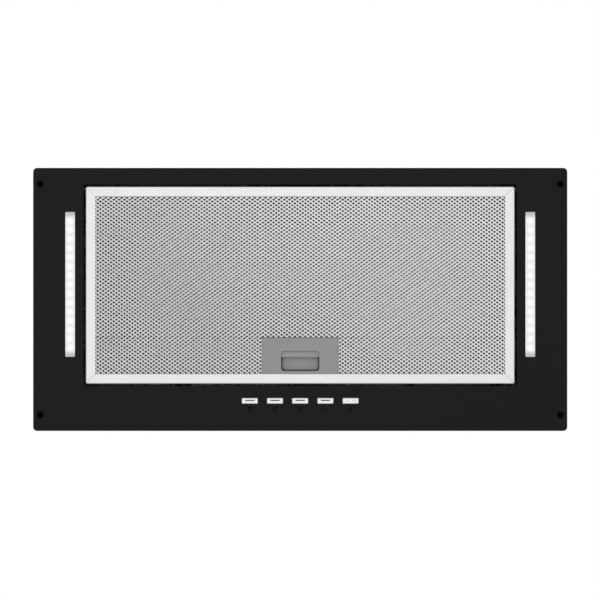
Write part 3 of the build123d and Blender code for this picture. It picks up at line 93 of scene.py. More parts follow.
# %% Wires and finishes
class Wire:
    """One output socket. Sums and products of wires add the Math nodes that they need."""

    def __init__(self, finish, socket):
        self.finish = finish
        self.socket = socket

    def math(self, operation, *values):
        return self.finish.add("ShaderNodeMath", {"operation": operation}, dict(enumerate(values)))

    def __add__(self, other):
        return self.math("ADD", self, other)

    def __radd__(self, other):
        return self.math("ADD", other, self)

    def __sub__(self, other):
        return self.math("SUBTRACT", self, other)

    def __rsub__(self, other):
        return self.math("SUBTRACT", other, self)

    def __mul__(self, other):
        return self.math("MULTIPLY", self, other)

    def __rmul__(self, other):
        return self.math("MULTIPLY", other, self)

    def __truediv__(self, other):
        return self.math("DIVIDE", self, other)

    def __gt__(self, other):
        return self.math("GREATER_THAN", self, other)

    def __lt__(self, other):
        return self.math("LESS_THAN", self, other)

    def __abs__(self):
        return self.math("ABSOLUTE", self)


class Finish:
    """A material with its surface shader, and short ways to add nodes to it."""

    def __init__(self, name, **constants):
        self.material = bpy.data.materials.new(name)
        self.material.use_nodes = True
        self.tree = self.material.node_tree
        self.shader = self.tree.nodes["Principled BSDF"]
        for label, value in constants.items():
            self.shader.inputs[label.replace("_", " ")].default_value = value

    def add(self, kind, settings=None, inputs=None, output=0):
        """Any node: its settings come first, because they can change its sockets."""
        node = self.tree.nodes.new(kind)
        for label, value in (settings or {}).items():
            setattr(node, label, value)
        for label, value in (inputs or {}).items():
            self.feed(node.inputs[label], value)
        return Wire(self, node.outputs[output])

    def feed(self, socket, value):
        if isinstance(value, Wire):
            self.tree.links.new(value.socket, socket)
        else:
            socket.default_value = value

    def drive(self, **wires):
        """Links what varies over the surface to the shader."""
        for label, wire in wires.items():
            self.feed(self.shader.inputs[label.replace("_", " ")], wire)
        return self

    def driven(self, label):
        """The wire that already goes into an input of the shader."""
        return Wire(self, self.shader.inputs[label].links[0].from_socket)

    def place(self):
        """Position on the object, in metres."""
        return self.add("ShaderNodeTexCoord", output="Object")

    def stretched(self, scale):
        """Position with each axis scaled, for grain that runs one way."""
        return self.add("ShaderNodeMapping", inputs={"Vector": self.place(), "Scale": scale})

    def axis(self, letter):
        return self.add("ShaderNodeSeparateXYZ", inputs={0: self.place()}, output=letter)

    def noise(self, size, detail=2.0, where=None):
        """Noise whose spots are about `size` metres across."""
        spots = {"Vector": where or self.place(), "Scale": 1 / size, "Detail": detail}
        return self.add("ShaderNodeTexNoise", inputs=spots)

    def ramp(self, value, start, end, low=0.0, high=1.0):
        """Soft step from low to high while value goes from start to end."""
        limits = {"Value": value, "From Min": start, "From Max": end, "To Min": low, "To Max": high}
        return self.add("ShaderNodeMapRange", {"interpolation_type": "SMOOTHSTEP"}, limits)

    def blend(self, factor, first, second):
        """One colour where factor is 0, the other where it is 1."""
        colours = {0: factor, 6: (*first, 1.0), 7: (*second, 1.0)}
        return self.add("ShaderNodeMix", {"data_type": "RGBA"}, colours, output=2)

    def darken(self, colour, share):
        """A colour with a share of it taken away."""
        return self.add("ShaderNodeVectorMath", {"operation": "SCALE"}, {0: colour, "Scale": 1 - share})

    def bump(self, height, depth):
        """Relief whose full height is `depth` metres."""
        relief = {"Height": height, "Distance": depth, "Strength": 1.0}
        return self.add("ShaderNodeBump", inputs=relief, output="Normal")


print("wires and finishes are ready")

# %% [markdown]
# ## Satin black powder coat
# The face plate is steel with a baked powder coat. Powder melts into a skin with a faint orange peel about
# a millimetre across, and its gloss wanders a little where fingers and cleaning cloths have been. An image
# of a coat would repeat, so the relief and the gloss are noise on Object coordinates, at their real scale.
# Painted shade darkens the countersinks of the four screw holes. One distance serves all four, because
# taking the size of X and Y without their signs folds the plate onto one quarter.

# %% Powder coat
screw_hole = Vector((258, 114.5)) * mm  # from the plate's middle
countersink_shade_radius = (3.3 * mm, 3.8 * mm)      # the countersink's dark, and where it has faded out
peel_depth = 0.005 * mm
coat_dark = (0.0037, 0.0037, 0.0039)
coat_pale = (0.0058, 0.0058, 0.0060)


def powder_coat():
    coat = Finish("powder_coat", Specular_IOR_Level=0.10, Coat_Roughness=0.3)
    peel = coat.noise(1.1 * mm, 3.0)
    clouds = coat.noise(60 * mm, 4.0)
    across = abs(coat.axis("X")) - screw_hole[0]
    along = abs(coat.axis("Y")) - screw_hole[1]
    distance = across.math("SQRT", across * across + along * along)
    # painted shade: the coat's colour is darkened inside the countersinks
    countersink_shade = coat.ramp(distance, *countersink_shade_radius, 1.0, 0.0)
    tone = coat.blend(clouds, coat_dark, coat_pale)
    return coat.drive(
        Base_Color=coat.darken(tone, countersink_shade * 0.9),
        Roughness=0.46 + clouds * 0.10 + peel * 0.04,
        Normal=coat.bump(peel, peel_depth),
    )


print("powder coat between", coat_dark[0], "and", coat_pale[0])

# %% [markdown]
# ## Satin anodised aluminium
# The four rails of the filter are pieces of one extrusion, cut at 45 degrees. The die leaves very fine
# lines along each rail, so the lines turn by 90 degrees at the mitres. A mask decides which rail a point
# is on: the rail whose outer edge is nearer. The same sum gives the dark hair line of the joint itself.

# %% Rails
half_length = (rails_high.x - rails_low.x) / 2
half_depth = (rails_high.y - rails_low.y) / 2
joint_line = (0.15 * mm, 0.45 * mm)     # half the hair line, and where it has faded out


def anodised_rails():
    rail = Finish("anodised_rails", Specular_IOR_Level=0.5)
    from_end = half_length - abs(rail.axis("X"))
    from_side = half_depth - abs(rail.axis("Y") - filter_middle.y)
    at_end = from_side > from_end
    along_x = rail.noise(0.35 * mm, 2.0, rail.stretched((0.01, 1, 1)))
    along_y = rail.noise(0.35 * mm, 2.0, rail.stretched((1, 0.01, 1)))
    lines = along_x * (1 - at_end) + along_y * at_end
    joint = rail.ramp(abs(from_end - from_side), *joint_line, 1.0, 0.0)
    clouds = rail.noise(40 * mm)
    return rail.drive(
        Base_Color=rail.blend(joint * 0.5, (0.565, 0.565, 0.569), (0.38, 0.38, 0.385)),
        Metallic=0.90 - joint * 0.2,
        Roughness=0.40 + lines * 0.10 + clouds * 0.05,
        Normal=rail.bump(lines, 0.004 * mm),
    )


print("rails", round(2 * half_length / mm, 1), "x", round(2 * half_depth / mm, 1), "mm")

# %% [markdown]
# ## Expanded aluminium
# The sheets of the filter are slit and pulled open, so every strand has a torn, slightly rough edge and a
# bright flat. Grease and washing make them unevenly duller: one wide noise dims whole areas and one narrow
# noise makes single strands differ. A slow ramp across the sheet is a painted reflection: it darkens the
# sheet towards its front corner at +X and lightens it towards its rear corner at -X.

# %% Filter sheets
# The ramp that these two numbers set is a painted reflection.
reflection_reach = 210 * mm       # the ramp from pale to dull spans this much on each side of the middle
front_share = 1.1           # how much a step to the front counts beside a step to the dull end


def expanded_sheet(name, pale, dull_and_shaded):
    sheet = Finish(name, Specular_IOR_Level=0.5)
    areas = sheet.noise(70 * mm, 3.0)
    strands = sheet.noise(3.0 * mm, 1.0)
    # painted reflection: a slow ramp darkens the sheet towards its front corner at +X
    painted_reflection = sheet.ramp(sheet.axis("X") - sheet.axis("Y") * front_share, -reflection_reach, reflection_reach)
    return sheet.drive(
        Base_Color=sheet.blend(painted_reflection * 0.55 + areas * 0.15 + strands * 0.3, pale, dull_and_shaded),
        Metallic=0.92 - strands * 0.08,
        Roughness=0.32 + areas * 0.08 + strands * 0.10,
        Normal=sheet.bump(sheet.noise(0.4 * mm), 0.02 * mm),
    )


print("expanded sheet finish is ready")

# %% [markdown]
# ## Moulded plastics
# Plastic parts come out of a spark-eroded mould with a fine matt grain and thin, soft gloss changes where
# the plastic flowed. One function makes them all, because only colour, grain and gloss differ: the grey
# latch, the black collar and lamp channels, the terminal box, the pale block and the capacitor's case.

# %% Plastics
def moulded(name, colour, roughness, grain=0.5 * mm, relief=0.015 * mm, gloss=0.5):
    plastic = Finish(name, Specular_IOR_Level=gloss)
    pores = plastic.noise(grain, 3.0)
    flow = plastic.noise(35 * mm, 2.0)
    shade = [part * 0.86 for part in colour]
    return plastic.drive(
        Base_Color=plastic.blend(flow * 0.7 + pores * 0.3, colour, shade),
        Roughness=roughness + (pores - 0.5) * 0.10 + (flow - 0.5) * 0.08,
        Normal=plastic.bump(pores, relief),
    )


print("plastics are ready")

# %% [markdown]
# ## The finger tray of the latch
# The steep walls of the tray get painted shade: their grey turns nearly black, as if shade fell in the
# recess, and the floor and the ledge get painted light, a grey a tenth brighter than the latch's. Two
# comparisons find the walls: they lie below the floor of the tray as it hangs, and in front of the ledge.
# Their product is a mask.

# %% Tray
latch_colour = (0.250, 0.250, 0.252)
tray_painted_light = (0.275, 0.275, 0.277)     # painted light: the latch's grey made a tenth brighter on the tray
wall_painted_shade = (0.03, 0.03, 0.03)
floor_thickness = 1.4 * mm
ledge_depth = 9.6 * mm
tray_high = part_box("latch_slider")[1]
tray_floor = tray_high.z - floor_thickness
ledge_front = tray_high.y - ledge_depth


def shaded_tray():
    tray = Finish("latch_tray", Specular_IOR_Level=0.4)
    # painted shade: the walls below the tray's floor and in front of the ledge turn nearly black
    wall_shade_mask = (tray.axis("Z") < tray_floor - 0.25 * mm) * (tray.axis("Y") < ledge_front - 0.05 * mm)
    pores = tray.noise(0.5 * mm, 3.0)
    dust = tray.noise(7 * mm, 2.0)
    return tray.drive(
        Base_Color=tray.blend(wall_shade_mask * 0.88 + dust * 0.05, tray_painted_light, wall_painted_shade),
        Roughness=0.48 + pores * 0.10,
        Normal=tray.bump(pores, 0.010 * mm),
    )


print("tray floor", round(tray_floor / mm, 2), "mm above the plate's upper face")

# %% [markdown]
# ## The lit lens
# A frosted strip covers fifteen small lamps, one each 9 mm. Through the frost each lamp is a soft white
# spot, the strip between them is a little less bright, and both ends fall off to grey, because no lamp
# stands behind them. The glow is a sum over the distance to the nearest lamp, so it needs no image.

# %% Lamp lens
lamp_pitch = 9.0 * mm
lamp_count = 15
lit_half = lamp_count * lamp_pitch / 2
lit_fade = 3.0 * mm
spot_radius = (0.4 * mm, 5.0 * mm)      # a lamp's full glow, and where it has faded out


def lit_lens(side):
    lens = Finish("lit_lens", Roughness=0.38, Emission_Strength=1.0)
    across = lens.axis("X") - middle(side).x
    along = lens.axis("Y") - middle(side).y
    step = along.math("WRAP", along, lamp_pitch / 2, -lamp_pitch / 2)
    distance = along.math("SQRT", across * across + step * step)
    spot = lens.ramp(distance, *spot_radius, 1.0, 0.0)
    lit = lens.ramp(abs(along), lit_half - lit_fade, lit_half + lit_fade, 1.0, 0.0)
    glow = 0.28 + lit * (0.31 + spot * 0.20)
    frost = lens.noise(0.6 * mm, 2.0)
    return lens.drive(
        Base_Color=lens.blend(frost, (0.16, 0.16, 0.165), (0.20, 0.20, 0.205)),
        Emission_Color=lens.add("ShaderNodeCombineXYZ", inputs={0: glow, 1: glow, 2: glow * 1.005}),
        Normal=lens.bump(frost, 0.01 * mm),
    )


print("each lens hides", lamp_count, "lamps")

# %% [markdown]
# ## Silver painted keys
# The five keys are plastic with a bright silver lacquer: tiny flakes under a clear coat. The flakes are a
# fine cell pattern that shifts the gloss from point to point. The light key is on in the portrait: its bar
# glows, brightest in the middle, so it takes the same lacquer with a pale stripe and a spot of light.

# %% Keys
bar_size = Vector((9.2, 1.0, 0.3)) * mm
bar_shift = 0.55 * mm               # from the key's middle towards the wall
key_spot = (0.6 * mm, 2.4 * mm)     # the small lamp's full glow, and where it has faded out


def silver_lacquer(name="silver_lacquer", **constants):
    lacquer = Finish(name, Specular_IOR_Level=0.5, Coat_Roughness=0.15, Coat_Weight=0.3, **constants)
    cells = {"Vector": lacquer.place(), "Scale": 1 / (0.25 * mm)}
    flakes = lacquer.add("ShaderNodeTexVoronoi", inputs=cells, output="Distance")
    return lacquer.drive(
        Base_Color=lacquer.blend(flakes, (0.60, 0.60, 0.604), (0.53, 0.53, 0.538)),
        Metallic=0.62 + flakes * 0.1,
        Roughness=0.34 + flakes * 0.12,
    )


def lit_key(node):
    """The lacquer with a pale lit bar, brightest over the small lamp in its middle."""
    lacquer = silver_lacquer("lit_key", Emission_Strength=1.0)
    across = abs(lacquer.axis("X") - middle(node).x)
    along = abs(lacquer.axis("Y") - middle(node).y - bar_shift)
    on_bar = (across < bar_size.x / 2) * (along < bar_size.y / 2)
    spot = lacquer.ramp(across, *key_spot, 1.0, 0.0)
    glow = on_bar * spot * 0.35
    return lacquer.drive(
        Base_Color=lacquer.darken(lacquer.driven("Base Color"), on_bar * 0.22),
        Emission_Color=lacquer.add("ShaderNodeCombineXYZ", inputs={0: glow, 1: glow, 2: glow}),
    )


print("key lacquer is ready")

# %% [markdown]
# ## Galvanised sheet
# The housing, the lid, the fan's scroll and its rails are hot-dip galvanised. Zinc freezes in crystals of
# about a centimetre, the spangle: each crystal has its own tone and its own gloss, and meets the next in
# a sharp line. A Voronoi pattern is just that, with the colour of a cell as a random tone. Very fine
# scratches from the rolling mill lie over it.

# %% Galvanised steel
def galvanised(name, tone, crystal=11 * mm):
    zinc = Finish(name, Specular_IOR_Level=0.5)
    wobble = zinc.noise(6 * mm, 3.0)
    cells = {"Vector": zinc.place(), "Scale": 1 / crystal, "Randomness": 1.0}
    cell = zinc.add("ShaderNodeTexVoronoi", inputs=cells, output="Color")
    tint = zinc.add("ShaderNodeSeparateXYZ", inputs={0: cell}, output="X")
    gloss = zinc.add("ShaderNodeSeparateXYZ", inputs={0: cell}, output="Y")
    mill = zinc.noise(0.5 * mm, 2.0, zinc.stretched((0.02, 1, 1)))
    bright = [part * 1.10 for part in tone]
    dark = [part * 0.80 for part in tone]
    return zinc.drive(
        Base_Color=zinc.blend(tint * 0.7 + wobble * 0.3, bright, dark),
        Metallic=0.88 + gloss * 0.08,
        Roughness=0.34 + gloss * 0.16 + mill * 0.06,
        Normal=zinc.bump(tint * 0.6 + mill * 0.4, 0.012 * mm),
    )


print("spangle is ready")

# %% [markdown]
# ## Bare and plated metals
# Screws are zinc plated, shafts and pins are ground, springs are drawn wire and the motor's core is a pile
# of stamped sheets half a millimetre thick. They share one recipe: a metal with fine marks that can run one
# way. The pile gets its stripes from marks that change only along X, the motor's axis.

# %% Metals
def marked_metal(name, pale, dark, roughness, mark=0.4 * mm, stretch=(1, 1, 1), relief=0.01 * mm):
    metal = Finish(name, Specular_IOR_Level=0.5, Metallic=1.0)
    marks = metal.noise(mark, 2.0, metal.stretched(stretch))
    stains = metal.noise(9 * mm, 3.0)
    return metal.drive(
        Base_Color=metal.blend(marks * 0.6 + stains * 0.4, pale, dark),
        Roughness=roughness + marks * 0.10 + stains * 0.06,
        Normal=metal.bump(marks, relief),
    )


print("metals are ready")

# %% [markdown]
# ## One finish for each slot
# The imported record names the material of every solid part. A table from that name to a finish dresses all
# of them in one loop, and a part that has no finish would stop the script with its name.

# %% Dress the solid parts
finishes = {
    "black_coated_steel": powder_coat(),
    "anodised_aluminium": anodised_rails(),
    "mesh_aluminium": expanded_sheet("front_sheet", (0.81, 0.81, 0.815), (0.56, 0.56, 0.565)),
    "latch_grey": moulded("latch_grey", latch_colour, 0.50, relief=0.010 * mm),
    "circuit_board": moulded("solder_mask", (0.62, 0.66, 0.63), 0.35, grain=2 * mm),
    "black_plastic": moulded("black_plastic", (0.012, 0.012, 0.013), 0.46, relief=0.02 * mm),
    "button_silver": silver_lacquer(),
    "galvanised_steel": galvanised("galvanised_steel", (0.52, 0.54, 0.56)),
    "zinc_fastener": marked_metal("zinc_plate", (0.68, 0.68, 0.66), (0.50, 0.51, 0.52), 0.26),
    "spring_steel": marked_metal("drawn_wire", (0.46, 0.46, 0.47), (0.30, 0.30, 0.31), 0.28),
    "ground_steel": marked_metal("ground_steel", (0.64, 0.64, 0.65), (0.50, 0.50, 0.51), 0.20,
                                 stretch=(0.05, 1, 1)),
    "motor_paint": moulded("motor_paint", (0.040, 0.041, 0.045), 0.38, grain=1.2 * mm),
    "lamination_steel": marked_metal("laminations", (0.36, 0.36, 0.38), (0.16, 0.16, 0.17), 0.42,
                                     mark=0.5 * mm, stretch=(1, 0.001, 0.001), relief=0.05 * mm),
    "sintered_bronze": marked_metal("sintered_bronze", (0.58, 0.40, 0.21), (0.32, 0.21, 0.11), 0.40),
    "capacitor_case": moulded("pale_case", (0.70, 0.70, 0.67), 0.36),
    "grey_plastic": moulded("grey_case", (0.36, 0.37, 0.38), 0.42, grain=0.8 * mm),
    "lead_sheath": moulded("lead_sheath", (0.020, 0.020, 0.021), 0.50, grain=3 * mm),
}


def dress(thing, finish):
    """Every face of a piece takes one finish."""
    thing.data.materials.clear()
    thing.data.materials.append(finish.material)


for part in frame["record"]["subparts"]:
    slot = part["material_slot"]
    if slot != "lamp_lens":
        dress(nodes[part["node"]], finishes[slot])
for side in ("led_lens_left", "led_lens_right"):
    dress(nodes[side], lit_lens(side))
dress(nodes["latch_slider"], shaded_tray())
dress(nodes["button_light"], lit_key("button_light"))
# The latch bolt is a real part, but its near-black colour is painted shade, for the dark gap it sits in.
dress(nodes["latch_bolt"], moulded("latch_bolt", (0.0035, 0.0035, 0.0037), 0.6, gloss=0.1))

# %% [markdown]
# ## Making a piece from a bmesh
# New pieces are made with the bmesh operators. When one is ready it becomes an object at the origin, with
# its place in its mesh, rides on the body that carries it and takes its finish.

# %% Turn a bmesh into a piece
def make_piece(bm, name, body, finish, smooth=False):
    bmesh.ops.recalc_face_normals(bm, faces=bm.faces)
    mesh = bpy.data.meshes.new(name)
    bm.to_mesh(mesh)
    bm.free()
    for face in mesh.polygons:
        face.use_smooth = smooth
    piece = bpy.data.objects.new(name, mesh)
    bpy.context.scene.collection.objects.link(piece)
    dress(piece, finish)
    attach(piece, body)
    return piece


# %% [markdown]
# ## The grease filter's sheets
# Expanded metal isn't woven. A knife slits a thin sheet in rows and pulls it open, so diamond holes stand
# in rows that are half a step apart, and every strand between them leans a little. A dense plane with a
# bump pattern would be quicker, but light has to fall through the holes onto the sheets behind, which is
# what gives the filter its shimmer. So one cell is made: a diamond rim, the hole's rim inside it, and a
# bridge between the two. Spin with a step instead of an angle repeats the cell along a row, and a pair of
# rows over the sheet. The flat net then gets its thickness in one extrusion, which also walls every hole.

# %% One sheet of expanded metal
hole_pitch = 5.287 * mm     # hole to hole along a row
row_pitch = 1.888 * mm      # row to row
hole_half = (1.75 * mm, 1.25 * mm)
hole_slant = 0.40           # the holes are drawn sideways, towards one end of the knife
strand_lean = math.tan(math.radians(17))    # rise of a strand for each step across its row
sheet_gauge = 0.45 * mm
seam = 0.01 * mm


def everything(bm):
    return bm.verts[:] + bm.edges[:] + bm.faces[:]


def corners_of(parts):
    return [part for part in parts if isinstance(part, bmesh.types.BMVert)]


def repeat(bm, step, times):
    """Copies everything along a straight step and joins what meets."""
    bmesh.ops.spin(bm, geom=everything(bm), cent=(0, 0, 0), axis=(0, 0, 1), dvec=step, angle=0.0,
                   steps=times - 1, use_duplicate=True)
    bmesh.ops.remove_doubles(bm, verts=bm.verts, dist=seam)


def cell(bm):
    """One hole with its half of each strand around it."""
    outer, inner = [
        bmesh.ops.create_circle(bm, radius=1.0, segments=4, cap_ends=False)["verts"] for _ in range(2)
    ]
    bmesh.ops.scale(bm, vec=(hole_pitch / 2, row_pitch, 1), verts=outer)
    bmesh.ops.scale(bm, vec=(*hole_half, 1), verts=inner)
    shear = Matrix(((1, hole_slant, 0, 0), (0, 1, 0, 0), (0, strand_lean, 1, 0), (0, 0, 0, 1)))
    bmesh.ops.transform(bm, matrix=shear, verts=inner)
    bmesh.ops.bridge_loops(bm, edges=bm.edges[:])


def expanded_metal(length, depth):
    """A net of cells over at least length x depth, about the origin."""
    bm = bmesh.new()
    cell(bm)
    cells = math.ceil(length / hole_pitch) + 1
    repeat(bm, (hole_pitch, 0, 0), cells)
    twin = bmesh.ops.duplicate(bm, geom=everything(bm))["geom"]
    bmesh.ops.translate(bm, vec=(hole_pitch / 2, row_pitch, 0), verts=corners_of(twin))
    pairs = math.ceil(depth / row_pitch / 2) + 1
    repeat(bm, (0, 2 * row_pitch, 0), pairs)
    bmesh.ops.translate(bm, vec=(-cells * hole_pitch / 2, -pairs * row_pitch, 0), verts=bm.verts)
    return bm


def thicken(bm, thickness):
    """Turns a flat net into a closed sheet, upwards."""
    bmesh.ops.recalc_face_normals(bm, faces=bm.faces)
    raised = bmesh.ops.extrude_face_region(bm, geom=bm.faces[:])["geom"]
    bmesh.ops.translate(bm, vec=(0, 0, thickness), verts=corners_of(raised))


sample = expanded_metal(20 * mm, 10 * mm)
print("a flat 20 x 10 mm sample has", len(sample.faces), "faces")
sample.free()

# %% [markdown]
# Each sheet is trimmed to its place in the rails' channel, and round the latch and the lugs of the pivot
# pins. The two sheets behind are coarser, and the middle one is turned by a right angle, as they are in a
# real filter: the three patterns then never fall in step, and each hole shows its own grey. The sheets
# behind are the same aluminium as the front one, but their much darker colour is painted shade.

# %% Three trimmed sheets
latch_gap = 0.3 * mm
pin_lug = (5.5 * mm, 9.5 * mm)      # what the lugs of the pivot pins take up in the two rear corners


def trim(bm, point, normal):
    """Cuts away what lies on the side that the normal points to."""
    bmesh.ops.bisect_plane(bm, geom=everything(bm), plane_co=point, plane_no=normal, clear_outer=True)


def notch(bm, low, high):
    """Cuts a rectangle out of the sheet."""
    for point, normal in ((low, (1, 0, 0)), (high, (1, 0, 0)), (low, (0, 1, 0)), (high, (0, 1, 0))):
        bmesh.ops.bisect_plane(bm, geom=everything(bm), plane_co=(*point, 0), plane_no=normal)
    inside = []
    for face in bm.faces:
        spot = face.calc_center_median()
        if low[0] < spot.x < high[0] and low[1] < spot.y < high[1]:
            inside.append(face)
    bmesh.ops.delete(bm, geom=inside, context="FACES")


def filter_sheet(node, finish, stretch, turn=0.0):
    """An expanded sheet in place of a plain one, stretched from the front sheet's pattern."""
    low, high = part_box(node)
    size = high - low
    reach = (size.x, size.y) if turn == 0.0 else (size.y, size.x)
    bm = expanded_metal(reach[0] / stretch, reach[1] / stretch)
    rise = strand_lean * hole_half[1] * stretch
    place = Matrix.Translation((*middle(node).xy, low.z + rise))
    place = place @ Matrix.Rotation(turn, 4, "Z") @ Matrix.Diagonal((-stretch, stretch, stretch, 1))
    bmesh.ops.transform(bm, matrix=place, verts=bm.verts)
    for point, normal in ((low, (-1, 0, 0)), (high, (1, 0, 0)), (low, (0, -1, 0)), (high, (0, 1, 0))):
        trim(bm, point, normal)
    notch(bm, (latch_low.x - latch_gap, low.y - mm), (latch_high.x + latch_gap, latch_high.y + latch_gap))
    rear = high.y - pin_lug[1]
    notch(bm, (low.x - mm, rear), (low.x + pin_lug[0], high.y + mm))
    notch(bm, (high.x - pin_lug[0], rear), (high.x + mm, high.y + mm))
    thicken(bm, sheet_gauge)
    sheet = make_piece(bm, "expanded_" + node.removeprefix("filter_"), "filter", finish)
    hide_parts(node)
    return sheet


core_stretch = 1.18
back_stretch = 1.35
# painted shade: a much darker copy of the front sheet's aluminium for the two sheets behind
painted_shade_sheet = expanded_sheet("rear_sheets_painted_shade", (0.180, 0.180, 0.182), (0.125, 0.125, 0.127))
sheets = [
    filter_sheet("filter_mesh_front", finishes["mesh_aluminium"], 1.0),
    filter_sheet("filter_mesh_core", painted_shade_sheet, core_stretch, math.pi / 2),
    filter_sheet("filter_mesh_back", painted_shade_sheet, back_stretch),
]
for sheet in sheets:
    sheet.data.calc_loop_triangles()
    print(sheet.name, len(sheet.data.loop_triangles), "triangles")

# %% [markdown]
# ## Bars in the keys
# Four of the five keys carry a short dark bar of plastic in a groove of their cap. A dark stripe in the
# lacquer would do from afar, but a real bar also catches light on its rounded ends.

# %% Key bars
bar_ink = moulded("bar_ink", (0.008, 0.008, 0.0085), 0.55, gloss=0.1)
bar_middle = 0.24 * mm      # from the key's face to the middle of the bar's depth
bar_rounding = 0.2 * mm


def key_bar(node):
    """Dark bar that fills the groove of one key."""
    bm = bmesh.new()
    bmesh.ops.create_cube(bm, size=1.0)
    bmesh.ops.scale(bm, vec=bar_size, verts=bm.verts)
    upright = [edge for edge in bm.edges if abs(edge.verts[0].co.z - edge.verts[1].co.z) > bar_size.z / 2]
    bmesh.ops.bevel(bm, geom=upright, offset=bar_rounding, segments=3, profile=0.5, affect="EDGES",
                    material=-1)
    centre = middle(node)
    centre.y += bar_shift
    centre.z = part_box(node)[0].z + bar_middle
    bmesh.ops.translate(bm, vec=centre, verts=bm.verts)
    return make_piece(bm, "bar_" + node, "key_" + node.removeprefix("button_"), bar_ink)


marked_keys = ["button_low", "button_medium", "button_high", "button_off"]
for node in marked_keys:
    key_bar(node)
print(len(marked_keys), "keys have a bar")

# %% [markdown]
# ## Printed signs
# The plate has a small sign under each key: a ring for off, a three-bladed fan in three sizes, and a lamp.
# They are printed, so each sign is a flat shape that stands a fiftieth of a millimetre off the plate, cut
# from circles. An image would need a file, and a bump wouldn't be there in the finished mesh.

# %% Signs
ink = moulded("sign_ink", (0.0006, 0.0006, 0.0006), 0.60, gloss=0.0)
ink_height = 0.02 * mm
sign_drop = 8.2 * mm        # key's middle to the sign's middle


def ring(bm, outer, inner, centre=(0, 0, 0)):
    rims = []
    for radius in (outer, inner):
        made = bmesh.ops.create_circle(bm, radius=radius, segments=32, cap_ends=False)["verts"]
        bmesh.ops.translate(bm, vec=centre, verts=made)
        rims += list({edge for corner in made for edge in corner.link_edges})
    bmesh.ops.bridge_loops(bm, edges=rims)


def disc(bm, radius, centre, squeeze=1.0, turn=0.0):
    made = bmesh.ops.create_circle(bm, radius=radius, segments=20, cap_ends=True)["verts"]
    place = Matrix.Translation(centre) @ Matrix.Rotation(turn, 4, "Z") @ Matrix.Diagonal((1, squeeze, 1, 1))
    bmesh.ops.transform(bm, matrix=place, verts=made)


def off_sign(bm):
    ring(bm, 2.2 * mm, 1.3 * mm)


def fan_sign(size):
    """Three round blades about a small hub."""
    def draw(bm):
        disc(bm, size * 0.08, (0, 0, 0))
        for third in range(3):
            turn = math.radians(120 * third + 15)
            reach = size * 0.38
            disc(bm, size * 0.21, (reach * math.cos(turn), reach * math.sin(turn), 0), 0.85, turn + 0.5)
    return draw


def lamp_sign(bm):
    ring(bm, 1.6 * mm, 1.15 * mm, (0, 0.4 * mm, 0))
    disc(bm, 0.5 * mm, (0, -1.7 * mm, 0), 0.5)


signs = {
    "button_off": off_sign,
    "button_high": fan_sign(5.0 * mm),
    "button_medium": fan_sign(4.2 * mm),
    "button_low": fan_sign(3.4 * mm),
    "button_light": lamp_sign,
}


def printed_sign(node, draw):
    bm = bmesh.new()
    draw(bm)
    raised = bmesh.ops.extrude_face_region(bm, geom=bm.faces[:])["geom"]
    bmesh.ops.translate(bm, vec=(0, 0, -2 * ink_height), verts=corners_of(raised))
    centre = middle(node)
    bmesh.ops.translate(bm, vec=(centre.x, centre.y - sign_drop, plate_low + ink_height), verts=bm.verts)
    return make_piece(bm, "sign_" + node.removeprefix("button_"), "hood", ink)


for node, draw in signs.items():
    printed_sign(node, draw)
print(len(signs), "signs printed")

# %% [markdown]
# ## Coil springs
# A solid part keeps its length, but a coil spring gives way when its key is pressed or the latch is pulled.
# Each coil is copied out of the solid springs as a piece of its own, which stands for them.

# %% Springs
coil_reach = 6 * mm         # more than a coil's width, less than the way to the next coil


def spring_piece(name, node, place_x, body):
    """The coil of a node that stands at a place along X, as a piece of its own."""
    bm = bmesh.new()
    bm.from_mesh(nodes[node].data)
    others = [corner for corner in bm.verts if abs(corner.co.x - place_x) > coil_reach]
    bmesh.ops.delete(bm, geom=others, context="VERTS")
    bmesh.ops.remove_doubles(bm, verts=bm.verts, dist=0.001 * mm)
    piece = make_piece(bm, name, body, finishes["spring_steel"], smooth=True)
    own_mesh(piece)
    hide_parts(node)
    return piece


for node in signs:
    key = node.removeprefix("button_")
    spring_piece("spring_" + key, "button_springs", middle(node).x, "hood")
for side, edge in zip(("left", "right"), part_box("latch_springs")):
    spring_piece("latch_spring_" + side, "latch_springs", edge.x, "filter")

# %% [markdown]
# ## The seal on the flange
# A strip of black foam is stuck on the flange's upper face, so the insert sits on its cabinet without a
# rattle. Its near-black colour is also painted shade: seen from below it is the black bottom of the four
# screw holes, where it stands in for shade. It is two rectangles that are bridged to a frame and extruded
# by its thickness.

# %% Foam strip
foam_thickness = 1.0 * mm
foam_clearance = 1.5 * mm           # to the housing's wall
foam_edge = 1.2 * mm                # to the plate's edge
wall_bead = 1.2 * mm                # how far the beads stand proud of the housing's wall


def rectangle(bm, half_x, half_y):
    """A rectangle's four edges about the origin."""
    made = bmesh.ops.create_circle(bm, radius=math.sqrt(2), segments=4, cap_ends=False)["verts"]
    bmesh.ops.rotate(bm, matrix=Matrix.Rotation(math.pi / 4, 3, "Z"), verts=made)
    bmesh.ops.scale(bm, vec=(half_x, half_y, 1), verts=made)


def flange_seal():
    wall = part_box("housing_shell")[1]
    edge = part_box("face_plate")[1]
    bm = bmesh.new()
    rectangle(bm, wall.x - wall_bead + foam_clearance, wall.y - wall_bead + foam_clearance)
    rectangle(bm, edge.x - foam_edge, edge.y - foam_edge)
    bmesh.ops.bridge_loops(bm, edges=bm.edges[:])
    thicken(bm, foam_thickness)
    # near-black foam, partly painted shade for the bottom of the screw holes
    foam = moulded("sealing_foam_and_hole_shade", (0.0014, 0.0014, 0.0015), 0.95, grain=0.7 * mm, gloss=0.02)
    return make_piece(bm, "flange_seal", "hood", foam)


flange_seal()
print("foam strip", foam_thickness / mm, "mm thick")

# %% [markdown]
# ## Camera
# The portrait is taken from straight below, with the wall side at the top of the picture, so the side with
# the off key is on its left. A long lens keeps the insert flat. The camera stands 2.5 m below, and its lens
# is chosen so that the plate fills the same share of the square picture as it does in the portrait: 530 mm
# of plate on 533.6 of 600 picture points.

